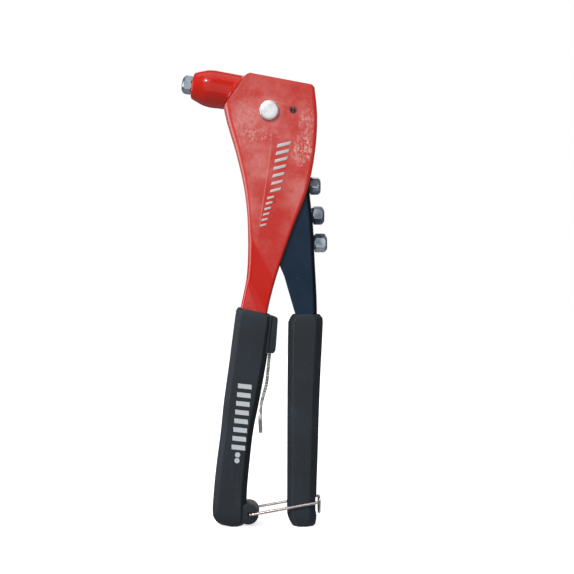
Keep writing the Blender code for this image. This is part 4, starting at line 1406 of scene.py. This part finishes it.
@dataclass
class Lever(Part):
    """The blue-black lever: a folded channel with two slotted ears and three threaded holes.

    Attributes:
        stations: Height, rear x and corner radius.
        front: x and height of the cheeks' front edge.
    """

    pivot: Flat
    spares: Sequence[Vector]
    stations: Sequence[Row] = (
        (50.0, 32.8, 2.6), (100.0, 35.2, 2.8), (123.6, 36.3, 3.0), (154.9, 34.9, 3.0),
        (172.3, 34.1, 3.0), (189.7, 32.3, 3.0), (204.6, 31.1, 3.0), (262.0, 30.0, 3.0),
    )  # fmt: skip
    front: Sequence[Flat] = (
        (0.5, 215.0), (5.5, 190.0), (11.2, 165.0), (14.8, 150.3),
        (17.3, 144.5), (21.3, 130.6), (23.7, 122.5), (24.2, 110.0),
    )  # fmt: skip
    wall: float = 2.0
    half_up: float = 10.2
    half_down: float = 8.5
    hub: float = 10.5
    ear_angle: float = 50.5
    ear_half: float = 4.8
    stop_angle: float = -70.5
    web_top: float = 204.6

    def _ring(self, z: float) -> list[Vector]:
        """Makes one section of the channel, open to the front.

        Args:
            z: Its height in millimetres.

        Returns:
            The section's points.
        """
        rear, radius = read(self.stations, z)
        half = self.half_down + (self.half_up - self.half_down) * ease((z - 126.0) / 26.0)
        outer = [(x, half) for x in (-8.0, 4.0, 16.0)]
        inner = [(x, half - self.wall) for x, _ in outer]
        for a in spread(0.0, QUARTER, 8):
            run, rise, tight = 1.0 - math.sin(a), 1.0 - math.cos(a), radius - self.wall
            outer.append((rear - radius * run, half - radius * rise))
            inner.append((rear - self.wall - tight * run, half - self.wall - tight * rise))
        ring = [(x, -y) for x, y in outer] + outer[::-1] + inner + [(x, -y) for x, y in inner[::-1]]
        return [Vector((x, y, z)) for x, y in ring]

    def _channel(self) -> bpy.types.Object:
        """Makes the plain channel.

        Returns:
            The channel.
        """
        heights = spread(50.0, 122.0, 6)[:-1] + spread(122.0, 156.0, 22)[:-1] + spread(156.0, 206.0, 22) + [262.0]
        rings = [self._ring(z) for z in heights]
        count = len(rings[0])
        faces = quads(len(rings), count, False)
        for base in (0, (len(rings) - 1) * count):
            for k in range(count // 2 - 1):
                faces.append((base + k, base + k + 1, base + count - 2 - k, base + count - 1 - k))
        return solid("lever_shell", [p for ring in rings for p in ring], faces)

    def _outline(self) -> list[Flat]:
        """Draws the side outline of the cheeks and the ears.

        Returns:
            Its points (x, z).
        """
        x, z = self.pivot
        edge = [(24.6, 40.0), (60.0, 40.0), (60.0, self.web_top), (31.0, self.web_top), (25.5, 210.5)]
        edge += arc(x, z, 16.5, self.stop_angle, self.stop_angle, 1)[:1]
        lean = math.degrees(math.asin(self.ear_half / self.hub))
        edge += arc(x, z, self.hub, self.stop_angle, self.ear_angle - lean, 20)
        tip = arc(x, z, 10.0, self.ear_angle, self.ear_angle, 1)[0]
        edge += arc(*tip, self.ear_half, self.ear_angle - 90.0, self.ear_angle + 90.0, 20)
        edge += arc(x, z, self.hub, self.ear_angle + lean, 195.0, 20)
        return edge + list(self.front)

    def build(self) -> None:
        """Makes the lever and hands it over."""
        obj = carved(self._channel(), [plate("outline", self._outline(), -THROUGH, THROUGH)], "INTERSECT")
        slot: list[Flat] = []
        for reach, start in ((10.4, -90.0), (8.2, 90.0)):
            centre = arc(*self.pivot, reach, self.ear_angle, self.ear_angle, 1)[0]
            slot += arc(*centre, 2.6, self.ear_angle + start, self.ear_angle + start + 180.0, 14)
        tools = [plate("slot", slot, -THROUGH, THROUGH)]
        tools += [rearward(seat).turned("hole", ((-6.0, 5.1), (4.0, 5.1)), 48) for seat in self.spares]
        carved(obj, tools)
        carved(obj, [cross_hole(*self.pivot, 4.25, 48)])
        settle(dressed(obj, self.finishes.lever), "lever", "moving_handle")


def rearward(seat: Vector) -> Axis:
    """Returns an axis towards +X from a seat."""
    return Axis(seat, Vector((1.0, 0.0, 0.0)), Vector((0.0, 0.0, 1.0)))


@dataclass
class Sleeve:
    """A moulded grip: a bevelled sleeve with the channel's socket in it.

    Attributes:
        name: Name of the object.
        stations: Height, left edge, right edge, half thickness and tilt of each section.
        socket: Left edge, right edge and half width of the socket at a height.
        bevels: Width of the left and the right bevel.
        groove: Distance from the left edge of a fine line down each face, or None.
    """

    name: str
    stations: Sequence[Row]
    socket: Callable[[float], Row]
    bevels: Flat
    groove: float | None = None
    groove_depth: float = 0.3
    corner: float = 3.4
    socket_low: float = 49.7
    socket_bevel: float = 0.8

    def _ring(self, z: float, row: Row, bevels: Flat, corner: float, outer: bool) -> list[Vector]:
        """Returns one section.

        Args:
            z: Its height.
            row: Its left edge, right edge, half thickness and tilt.
            bevels: Width of its left and right bevel.
            corner: Depth of its bevels.
            outer: Whether it is on the grip's outside.

        Returns:
            The section's points.
        """
        left, right, half, tilt = row
        xs = (right, right, right - bevels[1], left + bevels[0], left, left, left + bevels[0], right - bevels[1])
        ys = (corner - half, half - corner, half, half, half - corner, corner - half, -half, -half)
        steps = 4
        ring = rounded([Vector((x, y, 0.0)) for x, y in zip(xs, ys)], 0.55 if outer else 0.25, steps, True)
        if self.groove is not None:
            at, depth, each = left + self.groove, self.groove_depth if outer else 0.0, steps + 1
            cut = ((0.42, 0.0), (0.12, depth), (-0.12, depth), (-0.42, 0.0))
            far = [Vector((at + run, half - drop, 0.0)) for run, drop in cut]
            near = [Vector((p.x, -p.y, 0.0)) for p in reversed(far)]
            ring = ring[: 3 * each] + far + ring[3 * each : 7 * each] + near + ring[7 * each :]
        return [Vector((p.x, p.y, z - tilt * (p.x - 0.5 * (left + right)))) for p in ring]

    def build(self) -> bpy.types.Object:
        """Makes the grip's outside and its socket as one closed surface.

        Returns:
            The grip.
        """
        rows = self.stations
        last, end = rows[-4][0], rows[-1]
        heights = [z for low, high in zip(rows[:3], rows[1:4]) for z in spread(low[0], high[0], 3)[:-1]]
        heights += spread(rows[3][0], last, 34)[:-1]
        heights += [z for low, high in zip(rows[-4:-1], rows[-3:]) for z in spread(low[0], high[0], 2)[:-1]]
        heights.append(end[0])
        rings = [self._ring(z, tuple(read(rows, z, z < last)), self.bevels, self.corner, True) for z in heights]
        small = self.socket_bevel
        for z in [end[0]] + spread(end[0] - 2.0, self.socket_low, 8):
            tilt = end[4] if z > end[0] - 3.0 else 0.0
            rings.append(self._ring(z, (*self.socket(z), tilt), (small, small), small, False))
        return loft(self.name, rings, False, 26.0)


@dataclass
class FixedGrip(Part):
    """The grip on the body, with the spanner's pocket and the bail's lug.

    Attributes:
        pocket: Side outline of the pocket's block.
        seam: Side outline of the groove between the block and the sleeve.
        strap: x and height of a point of the spanner's strap, which the slot follows.
    """

    body: FoldedBody
    bail: Flat
    stations: Sequence[Row] = (
        (0.0, -16.4, -7.4, 7.6, 0.0), (1.0, -19.4, -6.0, 9.0, 0.0), (3.2, -22.0, -5.2, 10.0, 0.0),
        (7.0, -23.8, -4.8, 10.5, 0.0), (19.2, -23.3, -4.4, 10.5, 0.0), (36.6, -21.6, -2.8, 10.5, 0.0),
        (54.0, -19.3, -0.7, 10.5, 0.0), (71.4, -17.5, 2.8, 10.5, 0.0), (95.8, -14.1, 7.1, 10.5, 0.06),
        (118.5, -11.0, 10.3, 10.5, 0.16), (122.7, -10.3, 10.5, 10.2, 0.19), (124.3, -9.2, 8.6, 9.6, 0.22),
    )  # fmt: skip
    pocket: Sequence[Flat] = (
        (6.0, 122.2), (10.2, 121.5), (12.9, 120.5), (13.7, 119.4), (12.6, 104.0),
        (12.3, 101.4), (11.5, 100.0), (10.9, 99.8), (6.0, 99.8),
    )  # fmt: skip
    pocket_half: float = 8.5
    seam: Sequence[Flat] = ((7.6, 98.8), (8.4, 98.8), (11.1, 121.4), (10.3, 121.4))
    lug: Flat = (-3.3, 7.3)
    strap: Flat = (8.9, 99.6)
    strap_slope: float = 1.5 / 18.9
    strap_room: float = 1.3

    def _socket(self, z: float) -> Row:
        """Returns the socket's edges and half width."""
        front, rear, _ = read(self.body.stations, z)
        return front - 0.3, rear + 0.3, self.body.half(rear, z) + 0.25

    def build(self) -> None:
        """Makes the grip and its printed marks and hands them over."""
        grip = Sleeve("fixed_grip_moulding", self.stations, self._socket, (3.5, 2.8)).build()
        block = eased(plate("pocket", self.pocket, -self.pocket_half, self.pocket_half), 0.7, 3, 30.0)
        profile = ((-9.0, 5.0), (-8.7, 5.7), (-8.1, 6.0), (8.1, 6.0), (8.7, 5.7), (9.0, 5.0))
        for piece in (block, cross_axis(*self.lug).turned("lug", profile, 64)):
            carved(grip, [piece], "UNION", 28.0)
        slot = []
        for z, sense in ((97.0, -1.0), (97.0, 1.0), (119.2, 1.0), (119.2, -1.0)):
            centre = self.strap[0] + self.strap_slope * (z - self.strap[1])
            slot.append((centre + sense * self.strap_room, z))
        tools = [plate("slot", slot, -6.4, 6.4), cross_hole(*self.bail, 1.25, 32, 14.0)]
        tools += [plate("seam", self.seam, low, high) for low, high in ((-12.0, -7.1), (7.1, 12.0))]
        carved(grip, tools, "DIFFERENCE", 28.0)
        settle(dressed(grip, self.finishes.grip), "body", "fixed_grip")
        ride(self._print(), "body")

    def _print(self) -> bpy.types.Object:
        """Makes the plain printed marks on the near face: a ladder of bars and two dots, with no letters.

        Returns:
            The marks.
        """
        lean, face = 4.6 / 43.8, -10.52
        bar = [(x, z - lean * x) for x, z in ((-3.9, -1.35), (3.9, -1.35), (3.9, 1.35), (-3.9, 1.35))]
        dot = arc(0.0, 0.0, 1.5, 0.0, 345.0, 23)
        parts = []
        for shape, low, high, count in ((bar, 46.0, 81.0, 8), (dot, 38.5, 41.8, 2)):
            ends = [Vector((-5.1 + lean * (z - 82.0), face, z)) for z in (high, low)]
            piece = plate("mark", shape, -0.06, 0.06)
            parts.append(self.recipes.copies.lay(piece, ends, count, 0.0, self.finishes.ink))
        return fused("grip_print", parts)


@dataclass
class MovingGrip(Part):
    """The grip on the lever, with the bail's notch behind its foot."""

    lever: Lever
    stations: Sequence[Row] = (
        (0.0, 22.8, 34.2, 8.0, 0.0), (1.5, 21.6, 35.3, 9.3, 0.0), (4.9, 19.9, 35.9, 10.3, 0.0),
        (8.0, 19.1, 36.0, 10.5, 0.0), (19.2, 19.05, 36.0, 10.5, 0.0), (43.6, 19.1, 36.8, 10.5, 0.0),
        (71.4, 19.2, 37.6, 10.5, 0.0), (102.7, 19.45, 39.0, 10.5, 0.0), (117.5, 19.7, 39.7, 10.5, 0.0),
        (120.3, 20.9, 39.5, 10.2, 0.0), (122.3, 22.4, 37.8, 9.7, 0.0),
    )  # fmt: skip
    notch: Sequence[Flat] = ((35.4, 6.6), (50.0, 4.4), (50.0, 20.0), (35.4, 16.9))

    def _socket(self, z: float) -> Row:
        """Returns the socket's edges and half width."""
        front = read(((40.0, 24.6), (110.0, 24.2), (122.5, 23.7)), z, False)[0]
        return front - 0.6, read(self.lever.stations, z)[0] + 0.3, self.lever.half_down + 0.3

    def build(self) -> None:
        """Makes the grip and hands it over."""
        grip = Sleeve("moving_grip_moulding", self.stations, self._socket, (3.0, 4.0), 3.6).build()
        carved(grip, [plate("notch", self.notch, -THROUGH, THROUGH)], "DIFFERENCE", 26.0)
        settle(dressed(grip, self.finishes.grip), "lever", "moving_grip")


@dataclass
class Spanner(Part):
    """The stamped spanner in the pocket: a bowed strap with toothed edges and a six-sided eye.

    Attributes:
        eye_rows: Height, x and half width round the eye.
        strap: Height and x of the strap.
    """

    eye_rows: Sequence[Row] = (
        (53.3, 3.75, 1.6), (54.2, 3.7, 4.0), (56.2, 3.6, 6.5), (59.0, 3.5, 8.2), (62.0, 3.4, 8.8),
        (65.0, 3.45, 8.2), (68.4, 3.75, 6.2), (71.0, 4.25, 5.4), (74.1, 5.0, 5.4),
    )  # fmt: skip
    strap: Sequence[Row] = ((71.0, 4.25), (74.1, 5.0), (81.4, 7.0), (89.1, 7.9), (99.6, 8.9), (118.5, 10.4))
    half_thick: float = 0.95
    half_wide: float = 5.45
    eye_height: float = 62.0
    eye_flats: float = 9.9
    teeth: int = 14

    def build(self) -> None:
        """Makes the spanner and hands it over."""
        rows = [(z, *read(self.eye_rows, z)) for z in spread(53.3, 73.0, 26)]
        ends = [(z, self.half_wide) for z in spread(74.1, 117.0, 30)]
        ends += [(118.0, self.half_wide - 1.2), (118.6, self.half_wide - 3.2)]
        rows += [(z, read(self.strap, z)[0], half) for z, half in ends]
        rings = []
        for index, (z, x, half) in enumerate(rows):
            before, after = rows[max(index - 1, 0)], rows[min(index + 1, len(rows) - 1)]
            way = Vector((after[1] - before[1], 0.0, after[0] - before[0])).normalized()
            out = Vector((way.z, 0.0, -way.x)) * self.half_thick
            centre = Vector((x, 0.0, z))
            rings.append([centre + out * a + SIDE * half * b for a, b in ((1, 1), (1, -1), (-1, -1), (-1, 1))])
        plain = loft("spanner_plate", rings, False, 30.0)
        reach = 0.5 * self.eye_flats / math.cos(math.radians(30.0))
        turns = [math.radians(60.0 * k) for k in range(6)]
        ring = [(reach * math.sin(a), self.eye_height + reach * math.cos(a)) for a in turns]
        carved(plain, [loft("eye", [[Vector((x, y, z)) for y, z in ring] for x in (-4.0, 12.0)])], angle=30.0)
        steel = self.finishes.stamped
        parts = [dressed(eased(plain, 0.22, 2, 50.0), steel)]
        tooth = ((0.0, -0.82), (0.62, 0.0), (0.0, 0.82), (-0.62, 0.0))
        for sense in (-1.0, 1.0):
            shape = loft("tooth", [[Vector((x, y, z)) for y, z in tooth] for x in (-0.9, 0.9)])
            heights = spread(76.5, 98.5, self.teeth)
            path = [Vector((read(self.strap, z)[0], sense * self.half_wide, z)) for z in heights]
            parts.append(self.recipes.copies.lay(shape, path, self.teeth, 0.0, steel))
        settle(fused("spanner_stamping", parts), "spanner", "spanner")


@dataclass
class Bail(Part):
    """The wire bail that holds the lever closed."""

    hinge: Flat
    wire: float = 0.8
    half: float = 11.6
    rear: Flat = (37.6, 14.8)
    tongue_half: float = 5.0
    tongue_low: float = 7.7
    bend: float = 2.6

    def build(self) -> None:
        """Makes the bail and hands it over."""
        (x, z), (hinge_x, hinge_z), tongue = self.rear, self.hinge, self.tongue_half
        corners = ((hinge_x, 1.2, hinge_z), (hinge_x, self.half, hinge_z), (x, self.half, z))
        corners += ((x + 0.1, tongue, z + 0.9), (x, tongue - 0.6, self.tongue_low))
        path = [Vector((x, -y, z)) for x, y, z in corners] + [Vector(p) for p in reversed(corners)]
        path = rounded(path, self.bend, 9, False)
        finish = self.finishes.wire
        obj = self.recipes.wire.make("wire_bail", path, 50.0, Radius=self.wire * MM, Sides=20, Finish=finish)
        settle(obj, "latch", "latch_wire")


@dataclass
class PivotPin(Part):
    """The lever's pivot pin, with its low domed head on the near cheek."""

    pivot: Flat
    end: float = 15.0
    head: float = 5.6
    shank: float = 4.0
    groove: float = 13.3

    def build(self) -> None:
        """Makes the pin and hands it over."""
        end, head, shank, groove = self.end, self.head, self.shank, self.groove
        dome = ((0.06, 1.3), (0.28, 0.45), (0.55, 0.12), (0.9, 0.0))
        profile = [(-end, 0.6), (-end, 2.6)] + [(drop - end, head - cut) for drop, cut in dome]
        profile += [(-13.25, head), (-13.05, head - 0.2), (-13.05, shank), (groove, shank), (groove, shank - 0.7)]
        profile += [(groove + 1.0, shank - 0.7), (groove + 1.0, shank)]
        profile += [(end - 0.4, shank), (end, shank - 0.4), (end, 0.6)]
        obj = cross_axis(*self.pivot).turned("pivot_pin_turned", profile, 72, 25.0)
        settle(dressed(obj, self.finishes.pivot), "body", "pivot_pin")


@dataclass
class JawSpring(Part):
    """The spring behind the jaws, which in the real tool shortens as they open; here it is wound at its rest length."""

    span: Flat = (33.2, 39.2)
    radius: float = 3.9
    wire: float = 0.45
    turns: float = 3.5

    def build(self) -> None:
        """Winds the spring and hands it over."""
        axis, (low, high) = pulling_axis(), self.span
        length = high - low - 2.0 * self.wire
        sizes = {"Turns": self.turns, "Radius": self.radius * MM, "Length": length * MM}
        sizes |= {"Wire_Radius": self.wire * MM, "Sides": 12, "Finish": self.finishes.wire}
        coil = self.recipes.coil.about("wound_spring", axis, low + self.wire, **sizes)
        settle(coil, "jaw_carrier", "jaw_spring")
        tuple(axis.point(high) * MM)
        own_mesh(coil)


@dataclass
class KeptSolids(Part):
    """Solids of the frame that show as they are, in better finishes."""

    dark: Sequence[str] = ("pivot_ring", "stop_pin", "jaw_upper", "jaw_lower")
    bright: Sequence[str] = ("jaw_case", "jaw_pusher", "drawbar", "trunnion_pin")

    def build(self) -> None:
        """Gives each kept solid its finish."""
        for nodes, finish in ((self.dark, self.finishes.dark), (self.bright, self.finishes.steel)):
            for node in nodes:
                for place in frame["nodes"][node].material_slots:
                    place.material = finish
                LOG.info("%s keeps its solid, in %s", node, finish.name)


# ---------------------------------------------------------------- studio


@dataclass
class Studio:
    """Pale floor, soft lights and the camera.

    Attributes:
        panels: Place, aim, size and power of each soft light panel.
        key: Direction towards the key light.
    """

    eye: Row = (0.019, -0.7105, 0.138)
    lens: float = 76.6
    reach: float = 6.0
    panels: Sequence[tuple[str, Row, Row, Flat, float]] = (
        ("front_panel", (0.0, -1.5, 0.35), (0.0, 0.0, 0.2), (2.2, 1.5), 8.3),
        ("left_panel", (-1.1, -0.1, 0.35), (0.0, 0.0, 0.15), (0.6, 0.9), 5.0),
        ("top_panel", (0.0, -0.1, 1.5), (0.0, 0.0, 0.0), (1.2, 1.2), 4.2),
        ("back_panel", (0.3, 1.5, 0.7), (0.0, 0.0, 0.1), (1.8, 1.2), 6.8),
    )
    key: Row = (-0.35, -0.65, 0.68)

    def _world(self) -> None:
        """Makes a white surround whose light is dimmer than it looks, and brightest from below."""
        world = bpy.data.worlds.new("surround")
        bpy.context.scene.world = world
        world.use_nodes = True
        tree = world.node_tree
        tree.nodes.clear()
        kinds = ("OutputWorld", "MixShader", "LightPath", "TexCoord", "SeparateXYZ", "MapRange")
        out, mix, seen, place, split, rise = (tree.nodes.new("ShaderNode" + kind) for kind in kinds)
        for socket, value in zip((1, 2, 3, 4), (-0.35, -0.95, 0.20, 0.55)):
            rise.inputs[socket].default_value = value
        tree.links.new(place.outputs["Generated"], split.inputs[0])
        tree.links.new(split.outputs[2], rise.inputs[0])
        tree.links.new(seen.outputs["Is Camera Ray"], mix.inputs[0])
        for index, colour in enumerate(((0.93, 0.96, 1.0), (1.0, 1.0, 1.0)), start=1):
            light = tree.nodes.new("ShaderNodeBackground")
            light.inputs[0].default_value = (*colour, 1.0)
            tree.links.new(light.outputs[0], mix.inputs[index])
            if index == 1:
                tree.links.new(rise.outputs[0], light.inputs[1])
        tree.links.new(mix.outputs[0], out.inputs[0])

    def _floor(self) -> None:
        """Lays the pale floor, which is left out of the tool's reflections."""
        mesh = bpy.data.meshes.new("floor")
        corners = [(x * self.reach, y * self.reach, 0.0) for x, y in ((-1, -1), (1, -1), (1, 1), (-1, 1))]
        mesh.from_pydata(corners, [], [(0, 1, 2, 3)])
        floor = mesh_object("floor", mesh)
        bench = Bench("pale_floor")
        colour = bench.mix(bench.cloud(400.0, 1.0), (0.78, 0.78, 0.78), (0.80, 0.80, 0.80))
        glow = {"Emission_Color": (1.0, 1.0, 1.0), "Emission_Strength": 0.72}
        mesh.materials.append(bench.finish(Base_Color=colour, Roughness=0.9, Specular_IOR_Level=0.0, **glow))
        floor.visible_diffuse = floor.visible_glossy = False

    def _lamp(self, name: str, kind: str, away: Vector, up: str, energy: float) -> bpy.types.Object:
        """Adds a lamp.

        Args:
            name: Name of the object.
            kind: The lamp's type.
            away: The direction that it shines against.
            up: Which of its axes lies along that direction.
            energy: Its power.

        Returns:
            The lamp's object.
        """
        lamp = bpy.data.lights.new(name, kind)
        lamp.energy = energy
        obj = bpy.data.objects.new(name, lamp)
        bpy.context.scene.collection.objects.link(obj)
        obj.rotation_euler = away.to_track_quat(up, "Y").to_euler()
        return obj

    def build(self) -> None:
        """Makes the camera, the floor and the lights."""
        scene = bpy.context.scene
        scene.view_settings.view_transform = "Standard"
        camera = bpy.data.objects.new("camera", bpy.data.cameras.new("camera"))
        scene.collection.objects.link(camera)
        camera.location, camera.rotation_euler = self.eye, (QUARTER, 0.0, 0.0)
        camera.data.lens, camera.data.sensor_width = self.lens, 36.0
        camera.data.clip_start, camera.data.clip_end = 0.01, 50.0
        scene.camera = camera
        self._floor()
        self._world()
        for name, place, aim, size, power in self.panels:
            obj = self._lamp(name, "AREA", Vector(aim) - Vector(place), "-Z", power)
            obj.location, obj.visible_camera = place, False
            obj.data.shape, obj.data.size, obj.data.size_y = "RECTANGLE", *size
        self._lamp("key_light", "SUN", Vector(self.key), "Z", 1.7).data.angle = math.radians(7.0)


def nosepieces(shared: tuple[Finishes, Recipes]) -> list[Vector]:
    """Makes the fitted nosepiece and the three spares.

    Args:
        shared: The finishes and the trees.

    Returns:
        The spares' seats.
    """
    axis = pulling_axis()
    forward = Axis(axis.point(-0.3), -axis.along, axis.across)
    Nosepiece(*shared, "front_nosepiece_turned", "nosepiece", "front_nosepiece", forward, 5.7, 1.7, 15.0).build()
    seats = []
    for number, hole in enumerate((1.25, 2.05, 2.45), start=1):
        node = f"spare_nosepiece_{number}"
        low, high = (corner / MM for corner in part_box(node))
        seats.append(Vector((low.x + 15.7, 0.0, 0.5 * (low.z + high.z))))
        height, turn = high.x - seats[-1].x, 22.5 - 7.5 * number
        names = (f"spare_{number}_turned", f"spare_{number}", node)
        Nosepiece(*shared, *names, rearward(seats[-1]), height, hole, turn).build()
    return seats


def main() -> None:
    """Builds the studio and every piece, in order."""
    logging.basicConfig(level=logging.INFO, format="%(name)s: %(message)s")
    Studio().build()
    pivot, hinge = (tuple(joint(name)["pos_m"][i] / MM for i in (0, 2)) for name in ("lever_pivot", "latch_hinge"))
    shared = (Finishes(pivot), Recipes(Copies(), Wire(), Coil()))
    body = FoldedBody(*shared, pivot)
    body.build()
    Barrel(*shared).build()
    lever = Lever(*shared, pivot, nosepieces(shared))
    lever.build()
    FixedGrip(*shared, body, hinge).build()
    MovingGrip(*shared, lever).build()
    Spanner(*shared).build()
    Bail(*shared, hinge).build()
    PivotPin(*shared, pivot).build()
    JawSpring(*shared).build()
    KeptSolids(*shared).build()


if __name__ == "__main__":
    main()
